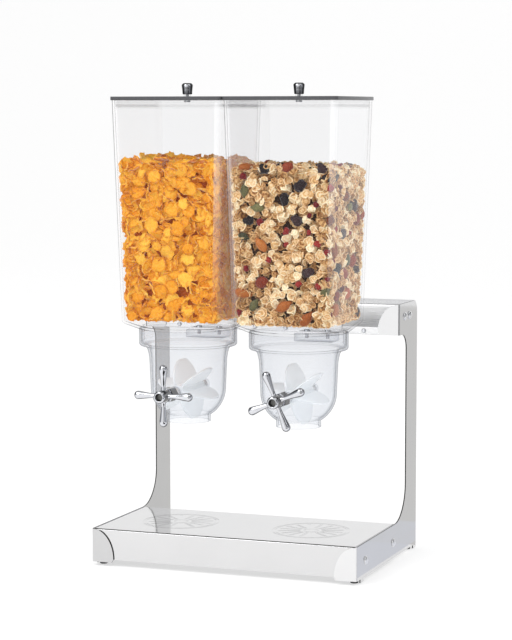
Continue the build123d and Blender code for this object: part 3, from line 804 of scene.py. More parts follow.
class DISPENSER_OT_canisters(bpy.types.Operator):
    """Model the clear canisters with a soft floor edge and real wall thickness"""
    bl_idname = "dispenser.canisters"
    bl_label = "Canisters"

    def execute(self, context):
        size = context.scene.dispenser_canister
        tint = tuple(size.plastic_colour)
        # Painted light and shade: edge-on the tints darken to painted dark outlines and the covers whiten
        # as a painted sheen; the last ramp paints dark corner lines.
        plastic = clear_plastic(
            "clear_canister",
            [(0.0, tint), (0.74, tint), (0.88, (0.86, 0.862, 0.866)), (1.0, (0.14, 0.14, 0.15))],
            [(0.0, 0.004), (0.3, 0.008), (0.45, 0.02), (0.66, 0.07), (0.8, 0.05), (1.0, 0.03)],
            [(0.0, tint), (0.44, tint), (0.58, 0.84), (0.7, 0.48), (0.85, 0.2), (1.0, 0.06)])
        for side in SIDES:
            x, y = axis_of(side)
            shell = canister_shell(f"{side}_canister_clear", x, y, size)
            outward_skin(shell, x, y)
            bevel(shell, near_height(shell, size.floor_height), 0.003, 4)
            modify(shell, "SOLIDIFY", thickness=size.wall, offset=-1, use_even_offset=True)
            pick(shell, "vertices", lambda v: v.co.z > size.top_height - 0.001)
            bpy.ops.transform.resize(value=(1, 1, 0), center_override=(x, y, size.top_height))
            leave_edit()
            # The corner attribute says where the plastic paints its corner lines, haze and glow.
            painted_corner_shares = [painted_corner_share(size, v.co.x - x, v.co.y - y, v.co.z) for v in shell.data.vertices]
            store(shell.data, "corner", painted_corner_shares)
            smooth(shell, 40)
            shell.visible_glossy = False
            finish(shell, f"{side}_hopper", plastic, [f"{side}_canister"])
        return {"FINISHED"}


class DISPENSER_OT_lids(bpy.types.Operator):
    """Model the smoky lid plates with soft edges and the clear skirts below them"""
    bl_idname = "dispenser.lids"
    bl_label = "Lids"

    def execute(self, context):
        plate_corner, edge, skirt_width, skirt_corner, skirt_wall = 0.005, 0.0006, 0.139, 0.006, 0.0025
        smoky = bpy.data.materials["smoky_lid"]
        # Edge-on the skirt gets painted darker outlines and a painted sheen.
        clear = clear_plastic(
            "clear_skirt", [(0.0, 0.99), (0.8, 0.97), (1.0, 0.75)], [(0.0, 0.004), (1.0, 0.08)])
        for side in SIDES:
            low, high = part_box(f"{side}_lid")
            x, y = axis_of(side)
            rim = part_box(f"{side}_canister")[1].z
            wide, middle = high.x - low.x, (rim + high.z) / 2
            plate = block(f"{side}_lid_plate", (x, y, middle), (wide, wide, high.z - rim))
            bevel(plate, upright(plate), plate_corner, 5)
            modify(plate, "BEVEL", width=edge, segments=3, limit_method="ANGLE",
                   angle_limit=math.radians(60))
            smooth(plate, 35)
            finish(plate, f"{side}_lid_set", smoky, [f"{side}_lid"])
            depth = rim - low.z
            skirt = block(f"{side}_lid_skirt", (x, y, rim - depth / 2), (skirt_width, skirt_width, depth))
            bevel(skirt, upright(skirt), skirt_corner, 5)
            open_ends(skirt)
            modify(skirt, "SOLIDIFY", thickness=skirt_wall, offset=-1, use_even_offset=True)
            smooth(skirt, 40)
            finish(skirt, f"{side}_lid_set", clear)
        return {"FINISHED"}


class DISPENSER_OT_lid_knobs(bpy.types.Operator):
    """Turn the small chrome knobs of the lids"""
    bl_idname = "dispenser.lid_knobs"
    bl_label = "Lid knobs"

    def execute(self, context):
        chrome = bpy.data.materials["knob_chrome"]
        for side in SIDES:
            low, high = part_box(f"{side}_lid_knob")
            x, y = axis_of(side)
            wide, tall = (high.x - low.x) / 2, high.z - low.z
            profile = [(0, 0), (wide - 0.0016, 0), (wide - 0.0011, 0.0006), (wide - 0.0006, tall * 0.45),
                       (wide, tall - 0.0028), (wide - 0.0003, tall - 0.0018), (wide - 0.0022, tall),
                       (0, tall)]
            knob = turned(f"{side}_lid_knob_chrome", rounded(profile, 0.0006, 3),
                          (x, y, low.z), (0, 0, 1), (1, 0, 0), 64)
            smooth(knob, 50)
            finish(knob, f"{side}_lid_set", chrome, [f"{side}_lid_knob"])
        return {"FINISHED"}


# Clear dispensing cups


def arc(centre, radius, start, end, steps):
    """Points on an arc, its angles in degrees."""
    turns = [math.radians(start + (end - start) * i / steps) for i in range(steps + 1)]
    return [(centre[0] + radius * math.cos(turn), centre[1] + radius * math.sin(turn)) for turn in turns]


def cup_profile(size, wall):
    """One side of the cup's wall as (radius, height) points, from its rim down; wall 0 is the outside."""
    collar, body, outlet = size.collar_radius - wall, size.body_radius - wall, size.outlet_radius - wall
    ledge = 0.2755 + wall
    points = [(collar, CUP_RIM), (collar, ledge + 0.003)]
    points += arc((collar - 0.003, ledge + 0.003), 0.003, 0, -90, 4)[1:]
    points += [(body + 0.0076, ledge), (body + 0.0060, ledge - 0.0010), (body + 0.0038, ledge - 0.005),
               (body + 0.0026, ledge - 0.010), (body + 0.0016, ledge - 0.016), (body + 0.0009, 0.245),
               (body, BOWL_CENTRE)]
    centre = (body - BOWL_RADIUS + wall, BOWL_CENTRE)
    points += arc(centre, BOWL_RADIUS - wall, 0, -54.5, 12)[1:]
    step = 0.0021 if wall == 0 else 0.0003
    return points + [(outlet + step, 0.1886), (outlet, 0.1884), (outlet, OUTLET_BOTTOM)]


class DISPENSER_OT_cups(bpy.types.Operator):
    """Turn the clear cups and add their axle bosses and rear pads"""
    bl_idname = "dispenser.cups"
    bl_label = "Cups"

    def execute(self, context):
        size = context.scene.dispenser_cup
        axle = axle_height()
        bore, boss_radius, soft_edge = 0.00605, 0.008, 0.0008
        # Each boss by its far end, its end at the wall and whether it is closed
        ends = ((-0.0515, -0.0440, False), (0.0530, 0.0440, True))
        # Edge-on the cup's tints darken to painted dark outlines and its covers whiten as a painted sheen.
        plastic = clear_plastic(
            "clear_cup",
            [(0.0, (0.958, 0.963, 0.972)), (0.6, (0.94, 0.947, 0.96)), (0.85, (0.66, 0.675, 0.70)),
             (1.0, (0.22, 0.23, 0.26))],
            [(0.0, 0.035), (0.5, 0.07), (0.8, 0.16), (1.0, 0.22)])
        for side in SIDES:
            x, y = axis_of(side)
            outside = cup_profile(size, 0)
            inside = cup_profile(size, size.wall)[::-1]
            lip = (outside[-1][0] - size.wall, OUTLET_BOTTOM)
            profile = [*outside, lip, *inside[1:], outside[0]]
            body = turned(f"{side}_cup_clear", profile, (x, y, 0), (0, 0, 1), (0, -1, 0), 96)
            bosses = []
            for start, end, closed in ends:
                soft = start + (soft_edge if end > start else -soft_edge)
                hole = [(bore, end), (bore, soft), (0.0068, start)]
                rim = [(0.0072, start), (boss_radius, soft), (boss_radius, end)]
                boss = [(0, start), *rim, (0, end)] if closed else [*hole, *rim, hole[0]]
                bosses.append(turned(f"{side}_boss", boss, (x, y, axle), (0, 1, 0), (0, 0, 1), 40))
            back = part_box(f"{side}_cup")[1].y
            pad = block(f"{side}_pad", (x, back - 0.014, 0.284), (0.052, 0.028, 0.010))
            modify(pad, "BEVEL", width=0.0012, segments=3)
            cup = join(f"{side}_cup_clear", [body, *bosses, pad])
            smooth(cup, 40)
            cup.visible_glossy = False
            finish(cup, "stand", plastic, [f"{side}_cup"])
        return {"FINISHED"}


# Paddle wheels


def petal_plate(size):
    """One petal that stands on the axle: drawn, rounded, cut for bending, cupped and thickened."""
    half = [(0.031, 0.0015), (0.0378, 0.010), (0.034, 0.022), (0.025, 0.031), (0.012, size.petal_tip)]
    outline = half + [(-along, out) for along, out in half[::-1]]
    petal = drawn("petal", [Vector((along, 0, out)) for along, out in outline])
    bpy.ops.mesh.edge_face_add()
    pick(petal, "vertices", lambda v: v.co.z > 0.005)
    bpy.ops.mesh.bevel(offset=0.0045, segments=4, affect="VERTICES")
    for step in range(-4, 5):
        bpy.ops.mesh.select_all(action="SELECT")
        bpy.ops.mesh.bisect(plane_co=(step * 0.008, 0, 0), plane_no=(1, 0, 0))
    for step in range(1, 4):
        bpy.ops.mesh.select_all(action="SELECT")
        bpy.ops.mesh.bisect(plane_co=(0, 0, step * 0.0095), plane_no=(0, 0, 1))
    leave_edit()
    modify(petal, "SIMPLE_DEFORM", deform_method="BEND", angle=size.petal_bend, deform_axis="Z")
    modify(petal, "SOLIDIFY", thickness=0.0022, offset=0)
    modify(petal, "BEVEL", width=0.0007, segments=2, limit_method="ANGLE")
    petal.data.transform(Matrix.Rotation(math.pi / 2, 4, "Z"))
    return petal


class DISPENSER_OT_wheels(bpy.types.Operator):
    """Model one soft petal, set six round a hub and place a wheel in each cup"""
    bl_idname = "dispenser.wheels"
    bl_label = "Paddle wheels"

    def execute(self, context):
        size = context.scene.dispenser_cup
        soft = bpy.data.materials["soft_wheel"]
        axle = axle_height()
        petal = petal_plate(size)
        waisted = [(0.0041, -0.036), (0.008, -0.036), (0.0088, -0.030), (0.008, 0), (0.0088, 0.030),
                   (0.008, 0.036), (0.0041, 0.036)]
        parts = [turned("hub", rounded(waisted, 0.001, 3), (0, 0, 0), (0, 1, 0), (0, 0, 1), 40)]
        for i in range(6):
            turn = Matrix.Rotation(math.radians(60 * i) - size.petal_lean, 4, "Y")
            parts.append(copy_of(petal, f"petal_{i}", turn))
        pattern = join("wheel", parts)
        smooth(pattern, 45)
        for side in SIDES:
            x, y = axis_of(side)
            wheel = copy_of(pattern, f"{side}_wheel_soft", Matrix.Translation((x, y, axle)))
            finish(wheel, f"{side}_rotor", soft, [f"{side}_paddle_wheel"])
        drop(petal, pattern)
        return {"FINISHED"}


# Knobs with four drop-shaped spokes


class DISPENSER_OT_knobs(bpy.types.Operator):
    """Turn one spoke and one hub, and set a four-spoked knob on each axle"""
    bl_idname = "dispenser.knobs"
    bl_label = "Spoked knobs"

    def execute(self, context):
        size = context.scene.dispenser_knob
        chrome = bpy.data.materials["bright_chrome"]
        axle, wide, end = axle_height(), size.hub_radius, 0.0053
        drop_shape = [(0, 0.003), (0.0033, 0.003), (0.0031, 0.0080), (0.0027, 0.0100), (0.0029, 0.0140),
                      (0.0034, 0.0190), (0.0042, 0.0250), (0.0050, 0.0305)]
        drop_shape += arc((0, size.spoke_reach - end), end, 6, 90, 8)
        spoke = turned("spoke", drop_shape, (0, KNOB_PLANE, 0), (0, 0, 1), (1, 0, 0), 40)
        front = [(0, -0.0893), (0.0036, -0.0893), (0.0043, -0.0900), (0.0048, -0.0958), (0.0056, -0.0960),
                 (0.0068, -0.0953), (wide, -0.0940), (wide, -0.0740), (wide - 0.0008, -0.0726),
                 (0.0062, -0.0720), (0, -0.0720)]
        parts = [turned("knob_hub", rounded(front, 0.0005, 3), (0, 0, 0), (0, 1, 0), (0, 0, 1), 56)]
        for i in range(4):
            parts.append(copy_of(spoke, f"spoke_{i}", Matrix.Rotation(math.radians(90 * i), 4, "Y")))
        pattern = join("knob", parts)
        smooth(pattern, 50)
        for side, turn in zip(SIDES, (0.0, size.right_turn)):
            x, y = axis_of(side)
            move = Matrix.Translation((x, y, axle)) @ Matrix.Rotation(turn, 4, "Y")
            knob = copy_of(pattern, f"{side}_knob_chrome", move)
            finish(knob, f"{side}_rotor", chrome, [f"{side}_handle"])
        drop(spoke, pattern)
        return {"FINISHED"}


# Cereal


def crumpled(name, sides, long, wide, wave, bend, thickness, seed, cuts=1):
    """A thin flake: a disc that is subdivided, crumpled, waved, bent into a bowl and given thickness."""
    flake = begin(name, "circle", vertices=sides, radius=1, fill_type="TRIFAN",
                  rotation=(math.pi / 2, 0, 0))
    edit_all()
    if cuts:
        bpy.ops.mesh.subdivide(number_cuts=cuts)
    bpy.ops.transform.resize(value=(long, 1, wide), center_override=(0, 0, 0))
    bpy.ops.transform.vertex_random(offset=long * 0.12, uniform=1.0, seed=seed)
    leave_edit()
    clouds = bpy.data.textures.new(name, "CLOUDS")
    clouds.noise_scale = long * (0.9 + 0.12 * (seed % 5))
    modify(flake, "DISPLACE", texture=clouds, strength=wave, mid_level=0.5, direction="Y")
    modify(flake, "SIMPLE_DEFORM", deform_method="BEND", angle=math.radians(bend), deform_axis="Z")
    flake.data.transform(Matrix.Rotation(-math.pi / 2, 4, "X"))
    reaches = [min(1.0, math.hypot(v.co.x / long, v.co.y / wide)) for v in flake.data.vertices]
    store(flake.data, "rim", reaches)
    modify(flake, "SOLIDIFY", thickness=thickness, offset=0)
    return flake


def cluster(name, flakes, chance):
    """Three flakes stuck together into a small rosette."""
    parts = []
    for i, flake in enumerate(flakes):
        lean = Matrix.Rotation(math.radians(chance.uniform(18, 55)), 4, "Y")
        spin = Matrix.Rotation(math.radians(120 * i + chance.uniform(-25, 25)), 4, "Z")
        shift = Matrix.Translation((0.0026, 0, -0.0006 * i))
        parts.append(copy_of(flake, f"{name}_{i}", spin @ shift @ lean))
    return join(name, parts)


def pebble(name, long, wide, thick, crumple, seed, point=1.0):
    """A rounded lump: a ball that is stretched, pointed at one end and crumpled."""
    lump = begin(name, "ico_sphere", subdivisions=2, radius=1)
    edit_all()
    bpy.ops.transform.resize(value=(long, wide, thick), center_override=(0, 0, 0))
    bpy.ops.transform.vertex_random(offset=crumple, uniform=0.6, normal=0.6, seed=seed)
    if point != 1.0:
        pick(lump, "vertices", lambda v: v.co.x > long * 0.45)
        bpy.ops.transform.resize(value=(1, point, point), center_override=(0, 0, 0))
    leave_edit()
    return lump


def wall_spots(chance, size, spacing, low, high, ripple):
    """Jittered places along the four walls, each as (place, outward normal)."""
    spots = []
    for side in range(4):
        turn = Matrix.Rotation(math.pi / 2 * side, 3, "Z")
        waves = [(chance.uniform(40, 90), chance.uniform(0, 6.3), chance.uniform(0.3, 1.0))
                 for _ in range(3)]
        rows = int((high + ripple - low) / (spacing * 0.87)) + 1
        for row in range(rows):
            z = low + row * spacing * 0.87
            half = half_room(size, z)
            count = int(2 * half / spacing)
            shift = 0.5 if row % 2 else 0.0
            for i in range(count + 1):
                u = -half + 2 * half * (i + shift) / count + chance.uniform(-0.35, 0.35) * spacing
                top = high + ripple * sum(a * math.sin(u * k + p) for k, p, a in waves) / 2
                height = z + chance.uniform(-0.35, 0.35) * spacing
                if height < top and abs(u) < half:
                    place = turn @ Vector((u, -half, 0)) + Vector((0, 0, height))
                    spots.append((place, turn @ Vector((0, -1, 0))))
    return spots


def level_spots(chance, size, spacing, z, noise, normal):
    """Jittered places on a level layer."""
    half = half_room(size, z) - spacing * 0.4
    count = max(1, int(2 * half / spacing))
    spots = []
    for i in range(count):
        for j in range(count):
            across = -half + 2 * half * (i + chance.uniform(0, 0.9)) / count
            along = -half + 2 * half * (j + chance.uniform(0, 0.9)) / count
            spots.append((Vector((across, along, z + chance.uniform(-noise, noise))), Vector(normal)))
    return spots


def apart(chance, spots, count, gap, taken=()):
    """Up to count of the spots, none closer than gap to another or to those taken."""
    chosen = []
    for spot in chance.sample(spots, len(spots)):
        if len(chosen) < count and all((spot[0] - other[0]).length > gap for other in [*chosen, *taken]):
            chosen.append(spot)
    return chosen


def lay(chance, spots, tilt, low, high, gap, steep=0.0):
    """Lay a piece at each spot: spun at random, tilted from the wall and set back from it within a gap.

    A steep share of the pieces is tilted much more.
    """
    laid = []
    for place, normal in spots:
        if chance.random() > steep:
            lean = chance.uniform(-tilt, tilt)
        else:
            lean = chance.choice((-1, 1)) * chance.uniform(50, 85)
        turn = normal.to_track_quat("Z", "Y").to_matrix()
        turn = turn @ Matrix.Rotation(chance.uniform(0, 2 * math.pi), 3, "Z")
        turn = turn @ Matrix.Rotation(math.radians(lean), 3, "X")
        turn = turn @ Matrix.Rotation(math.pi if chance.random() < 0.5 else 0, 3, "X")
        turn = turn @ Matrix.Rotation(chance.uniform(0, 2 * math.pi), 3, "Z")
        laid.append((place, normal, turn * chance.uniform(low, high), chance.uniform(*gap)))
    return laid


def pour(name, chance, patterns, laid, size, x, y, floor, darkest=0.0):
    """Copy the patterns to their places as one mesh, each moved until it just fits inside the canister."""
    points, faces, tones, rims, start = [], [], [], [], 0
    shapes = []
    for pattern in patterns:
        rim = pattern.data.attributes.get("rim")
        rim = [item.value for item in rim.data] if rim else [0.5] * len(pattern.data.vertices)
        corners = np.array([v.co for v in pattern.data.vertices])
        shapes.append((corners, [tuple(f.vertices) for f in pattern.data.polygons], rim))
    for place, normal, turn, gap in laid:
        base, polygons, rim = shapes[chance.randrange(len(shapes))]
        placed = base @ np.array(turn).T + np.array(place)
        room = half_room(size, placed[:, 2]) - CEREAL_ROOM
        for axis in (0, 1):
            outward = normal[axis]
            if abs(outward) > 0.5:
                placed[:, axis] -= outward * np.max(placed[:, axis] * outward - room + gap)
            else:
                placed[:, axis] -= max(0.0, np.max(placed[:, axis] - room))
                placed[:, axis] += max(0.0, np.max(-placed[:, axis] - room))
        inner = np.abs(placed[:, :2]) - (room[:, None] - INNER_CORNER_RADIUS)
        past = np.hypot(inner[:, 0], inner[:, 1]) - INNER_CORNER_RADIUS
        corner = np.where((inner > 0).all(axis=1), past, 0.0).max()
        if corner > 0:
            placed[:, :2] -= np.sign(placed[:, :2].mean(axis=0)) * corner * 0.75
        placed[:, 2] += max(0.0, floor + CEREAL_ROOM - placed[:, 2].min())
        points.append(placed + (x, y, 0))
        faces += [tuple(i + start for i in p) for p in polygons]
        tones += [chance.uniform(darkest, 1)] * len(base)
        rims += rim
        start += len(base)
    mesh = bpy.data.meshes.new(name)
    mesh.from_pydata(np.concatenate(points).tolist(), [], faces)
    store(mesh, "tone", tones)
    store(mesh, "rim", rims)
    obj = bpy.data.objects.new(name, mesh)
    bpy.context.collection.objects.link(obj)
    return smooth(obj, 60)


def core(name, size, x, y, low, high, inset, seed):
    """The lumpy heart of the cereal, behind the loose pieces, which its callers paint dark as the shade
    inside.
    """
    middle = (low + high) / 2
    half = half_room(size, middle) - inset
    obj = block(name, (x, y, middle), (2 * half, 2 * half, high - low))
    edit_all()
    bpy.ops.mesh.subdivide(number_cuts=14)
    bpy.ops.transform.vertex_random(offset=0.003, uniform=1.0, seed=seed)
    leave_edit()
    return smooth(obj, 180)


class DISPENSER_OT_cornflakes(bpy.types.Operator):
    """Fill the left canister with cornflakes"""
    bl_idname = "dispenser.cornflakes"
    bl_label = "Cornflakes"

    def execute(self, context):
        size, food = context.scene.dispenser_canister, context.scene.dispenser_cereal
        chance = random.Random(food.seed)
        x, y = axis_of("left")
        r = food.flake_size
        shapes = ((1.0, 0.92, 0.7, 45), (1.08, 0.85, 0.9, 75), (0.92, 0.95, 0.6, 30),
                  (1.12, 0.92, 0.8, 60), (0.8, 0.7, 0.7, 110), (1.0, 0.97, 0.6, 22))
        patterns = [crumpled(f"flake_{i}", 10, r * a, r * b, r * wave, bend, thickness=0.0013, seed=3 + i)
                    for i, (a, b, wave, bend) in enumerate(shapes)]
        low, high = size.floor_height + 0.0016, food.left_level
        spots = wall_spots(chance, size, r * 1.34, low + r * 0.6, high - r * 0.5, 0.004)
        outer = lay(chance, spots, 26, 0.66, 1.05, (0.0, 0.004), 0.5)
        spots = wall_spots(chance, size, r * 1.1, low + r * 0.4, high - r * 0.6, 0.004)
        inner = lay(chance, spots, 55, 0.8, 1.15, (0.0028, 0.007), 0.3)
        for depth in (0.25, 0.9):
            spots = level_spots(chance, size, r * 1.15, high - r * depth, r * 0.5, (0, 0, 1))
            inner += lay(chance, spots, 50, 0.8, 1.1, (0, 0))
        spots = level_spots(chance, size, r * 1.2, low + r * 0.25, r * 0.2, (0, 0, -1))
        inner += lay(chance, spots, 22, 0.8, 1.1, (0, 0))
        # The rings paint a dark line of shade inside each flake's rim, and a lighter rim.
        look = grain_food(
            "cornflake", (0.42, 0.085, 0.001), (0.80, 0.29, 0.004), (0.96, 0.54, 0.06),
            scale=330, bumps=0.0009, roughness=0.33, blister=420,
            rings=((0.0, 0.6), (0.72, 0.7), (0.88, 0.0), (1.0, 0.75)))
        for name, laid in (("left_cornflakes", outer), ("left_cornflakes_inner", inner)):
            fill(pour(name, chance, patterns, laid, size, x, y, low, 0.3), "left_hopper", look)
        heart = core("left_cornflake_heart", size, x, y, low + 0.004, high - r * 1.4,
                     inset=r * 1.25, seed=5)
        # A darker copy of the cornflake colours with a stronger glow: painted shade for the heart, lifted
        # by a painted glow.
        shade = grain_food(
            "cornflake_shade", (0.32, 0.06, 0.001), (0.52, 0.15, 0.004), (0.68, 0.26, 0.015),
            scale=130, bumps=0.002, roughness=0.6, glow=0.2)
        fill(heart, "left_hopper", shade)
        drop(*patterns)
        return {"FINISHED"}


class DISPENSER_OT_muesli(bpy.types.Operator):
    """Fill the right canister with oats, nuts, seeds and dried fruit"""
    bl_idname = "dispenser.muesli"
    bl_label = "Muesli"

    def execute(self, context):
        size, food = context.scene.dispenser_canister, context.scene.dispenser_cereal
        chance = random.Random(food.seed + 1)
        x, y = axis_of("right")
        r = food.oat_size
        low, high = size.floor_height + 0.001, food.right_level
        shapes = ((1.0, 0.8, 40), (1.15, 0.85, 55), (0.9, 0.85, 25))
        thin = 0.0009
        flat = [crumpled(f"oat_{i}", 7, r * a, r * b, r * 0.5, bend, thin, seed=11 + i, cuts=0)
                for i, (a, b, bend) in enumerate(shapes)]
        curled = crumpled("oat_curl", 8, r * 1.2, r, r * 0.6, 150, thin, seed=17, cuts=0)
        oats = []
        for i in range(3):
            third = curled if i % 2 else flat[(i + 2) % 3]
            oats.append(cluster(f"rosette_{i}", [flat[i], flat[(i + 1) % 3], third], chance))
        oats.append(curled)
        # Name, count, pattern, tilt, three colours, grain, bumps, roughness, smallest and largest size
        kinds = (
            ("almonds", 5, pebble("almond", 0.0122, 0.0068, 0.0052, 0.0002, 2, 0.6), 10,
             ((0.09, 0.018, 0.004), (0.31, 0.075, 0.011), (0.48, 0.165, 0.034)),
             420, 0.0004, 0.42, 0.92, 1.05),
            ("raisins", 6, pebble("raisin", 0.0088, 0.0072, 0.0062, 0.0014, 3), 30,
             ((0.004, 0.002, 0.003), (0.018, 0.008, 0.010), (0.06, 0.028, 0.03)),
             420, 0.0014, 0.36, 0.8, 1.05),
            ("nuts", 3, pebble("nut", 0.0092, 0.0076, 0.0066, 0.0003, 5), 30,
             ((0.12, 0.012, 0.005), (0.27, 0.042, 0.014), (0.42, 0.10, 0.04)),
             350, 0.0006, 0.4, 0.9, 1.05),
            ("seeds", 4, pebble("seed", 0.0088, 0.0052, 0.0028, 0.0001, 6, 0.6), 14,
             ((0.028, 0.028, 0.013), (0.07, 0.068, 0.030), (0.20, 0.185, 0.072)),
             260, 0.0003, 0.4, 0.85, 1.05),
            ("cranberries", 8, pebble("cranberry", 0.0048, 0.0040, 0.0036, 0.0007, 4), 40,
             ((0.05, 0.001, 0.002), (0.18, 0.006, 0.008), (0.36, 0.03, 0.02)),
             420, 0.0007, 0.3, 0.7, 1.2),
        )
        places = wall_spots(chance, size, 0.008, low + 0.010, high - 0.006, 0.003)
        tops = level_spots(chance, size, 0.016, high + 0.001, 0.002, (0, 0, 1))
        taken, rooms = [], []
        for name, count, pattern, tilt, colours, scale, bumps, gloss, small, large in kinds:
            reach = max(v.co.x for v in pattern.data.vertices)
            wide = max(v.co.y for v in pattern.data.vertices)
            own = apart(chance, places, count * 4, reach + 0.0095, taken)
            own += apart(chance, tops, count, 0.016, taken)
            taken += own
            rooms += [(reach + wide) / 2] * len(own)
            laid = lay(chance, own, tilt, small, large, (0.0, 0.0008))
            piece = pour(f"right_{name}", chance, [pattern], laid, size, x, y, low)
            fill(piece, "right_hopper", grain_food(name, *colours, scale, bumps, gloss))
            drop(pattern)
        # The rings paint a dark band of shade part way out and a light band near each oat flake's rim.
        rings = ((0.0, 0.55), (0.3, 0.75), (0.52, 0.0), (0.68, 0.1), (0.8, 1.0), (1.0, 0.8))
        # The inner layer gets a darker copy of the oat colours: painted shade behind the outer pieces.
        looks = {
            "outer": grain_food("oat_flake", (0.24, 0.085, 0.018), (0.72, 0.43, 0.18), (0.95, 0.83, 0.58),
                                scale=420, bumps=0.0004, roughness=0.5, rings=rings),
            "inner": grain_food("oat_shade", (0.14, 0.045, 0.010), (0.50, 0.26, 0.09), (0.80, 0.58, 0.31),
                                scale=420, bumps=0.0004, roughness=0.5, rings=rings),
        }

        def clear_of_others(spot):
            return all((spot[0] - other[0]).length > room + 0.0024 for other, room in zip(taken, rooms))

        layers = (("outer", 1.6, 60, (0.0, 0.002)), ("inner", 1.55, 80, (0.005, 0.010)))
        for tag, spacing, tilt, gap in layers:
            spots = wall_spots(chance, size, r * spacing, low + r * 0.5, high - r * 0.5, 0.004)
            if tag == "outer":
                spots = [spot for spot in spots if clear_of_others(spot)]
                spots += level_spots(chance, size, r * 1.5, high - r * 0.3, r * 0.8, (0, 0, 1))
                spots += level_spots(chance, size, r * 1.7, low + r * 0.3, r * 0.3, (0, 0, -1))
            laid = lay(chance, spots, tilt, 0.75, 1.2, gap)
            piece = pour(f"right_oats_{tag}", chance, oats, laid, size, x, y, low)
            fill(piece, "right_hopper", looks[tag])
        heart = core("right_muesli_heart", size, x, y, low + 0.004, high - r * 1.8,
                     inset=r * 2.4, seed=6)
        # A dark copy of the muesli colours: painted shade for the heart.
        shade = grain_food(
            "muesli_shade", (0.04, 0.014, 0.004), (0.14, 0.06, 0.02), (0.30, 0.15, 0.06),
            scale=300, bumps=0.002, roughness=0.7)
        fill(heart, "right_hopper", shade)
        drop(*oats, *flat)
        return {"FINISHED"}


# Floor, light and camera


def card_finish(name, colour):
    """A flat card that only reflections see."""
    s = Shading(name)
    s.set(Base_Color=(0, 0, 0, 1), Roughness=1.0, Specular_IOR_Level=0.0, Emission_Strength=1.0)
    s.set(Emission_Color=s.mottled(s.noise(1.5, 2), shaded(colour, 0.96), colour))
    return s.material


def standing_card(name, material, start, end, bottom, top):
    """An upright card from one floor point to another."""
    (x0, y0), (x1, y1) = start, end
    wide = math.hypot(x1 - x0, y1 - y0)
    card = begin(name, "plane", size=1, rotation=(math.pi / 2, 0, 0))
    edit_all()
    bpy.ops.transform.resize(value=(wide, 1, top - bottom), center_override=(0, 0, 0))
    bpy.ops.transform.translate(value=(0, 0, (top + bottom) / 2))
    turn = math.atan2(y1 - y0, x1 - x0)
    bpy.ops.transform.rotate(value=-turn, orient_axis="Z", center_override=(0, 0, 0))
    bpy.ops.transform.translate(value=((x0 + x1) / 2, (y0 + y1) / 2, 0))
    leave_edit()
    card.data.materials.append(material)
    return card


def round_place(angle, distance):
    """A floor point at an angle from the camera's side, to the right as the camera sees it."""
    turn = math.radians(-90 + CAMERA_TURN + angle)
    return distance * math.cos(turn), distance * math.sin(turn)


def round_card(name, material, start, end, distance, bottom, top):
    """An upright card between two angles round the object."""
    places = round_place(start, distance), round_place(end, distance)
    return standing_card(name, material, *places, bottom, top)


def lying_card(name, material, wide, deep, turn, centre):
    """A card on the floor."""
    card = begin(name, "plane", size=1, location=(0, 0, 0.002))
    edit_all()
    bpy.ops.transform.resize(value=(wide, deep, 1), center_override=(0, 0, 0))
    bpy.ops.transform.rotate(value=-math.radians(turn), orient_axis="Z", center_override=(0, 0, 0))
    bpy.ops.transform.translate(value=(*centre, 0))
    leave_edit()
    card.data.materials.append(material)
    return card


def glossy_cards():
    """Dark, grey and white cards round the stage for the metal to reflect."""
    dark = card_finish("dark_card", (0.02, 0.02, 0.022))
    grey = card_finish("grey_card", (0.75, 0.745, 0.735))
    blue = card_finish("blue_card", (0.79, 0.807, 0.865))
    flank = card_finish("flank_card", (0.34, 0.35, 0.37))
    soft = card_finish("soft_card", (0.52, 0.525, 0.54))
    white = card_finish("white_card", (1.3, 1.3, 1.3))
    return [
        round_card("card_camera", dark, 8, 42, 2.0, 0.75, 2.4),
        round_card("card_camera_low", soft, 8, 42, 2.0, 0.14, 0.75),
        round_card("card_foot", dark, -13, 11, 2.05, 0.0, 0.14),
        lying_card("card_front", dark, 0.9, 1.35, 15 + CAMERA_TURN, round_place(15, 1.3)),
        round_card("card_left_flank", flank, -62, -95, 2.2, 0.0, 2.6),
        round_card("card_right_flank", flank, 46, 88, 2.2, 0.0, 2.6),
        round_card("card_left", dark, -95, -150, 2.4, 0.9, 2.6),
        round_card("card_left_low", soft, -95, -150, 2.4, 0.0, 0.9),
        round_card("card_right", dark, 88, 122, 2.4, 0.9, 2.6),
        round_card("card_right_low", soft, 88, 122, 2.4, 0.0, 0.9),
        round_card("card_behind", soft, 155, -158, 2.9, 0.85, 2.8),
        round_card("card_bright", white, -28, -58, 2.6, 0.0, 0.9),
        standing_card("card_side", grey, (-0.1, 1.25), (1.9, 1.0), 0.0, 0.22),
        standing_card("card_low", blue, (0.27, 0.30), (0.75, 0.30), 0.0, 0.06),
        lying_card("card_beside", blue, 0.55, 0.41, 0, (0.46, 0.09)),
        lying_card("card_ground", grey, 2.2, 1.1, 0, (0.92, 0.69)),
    ]


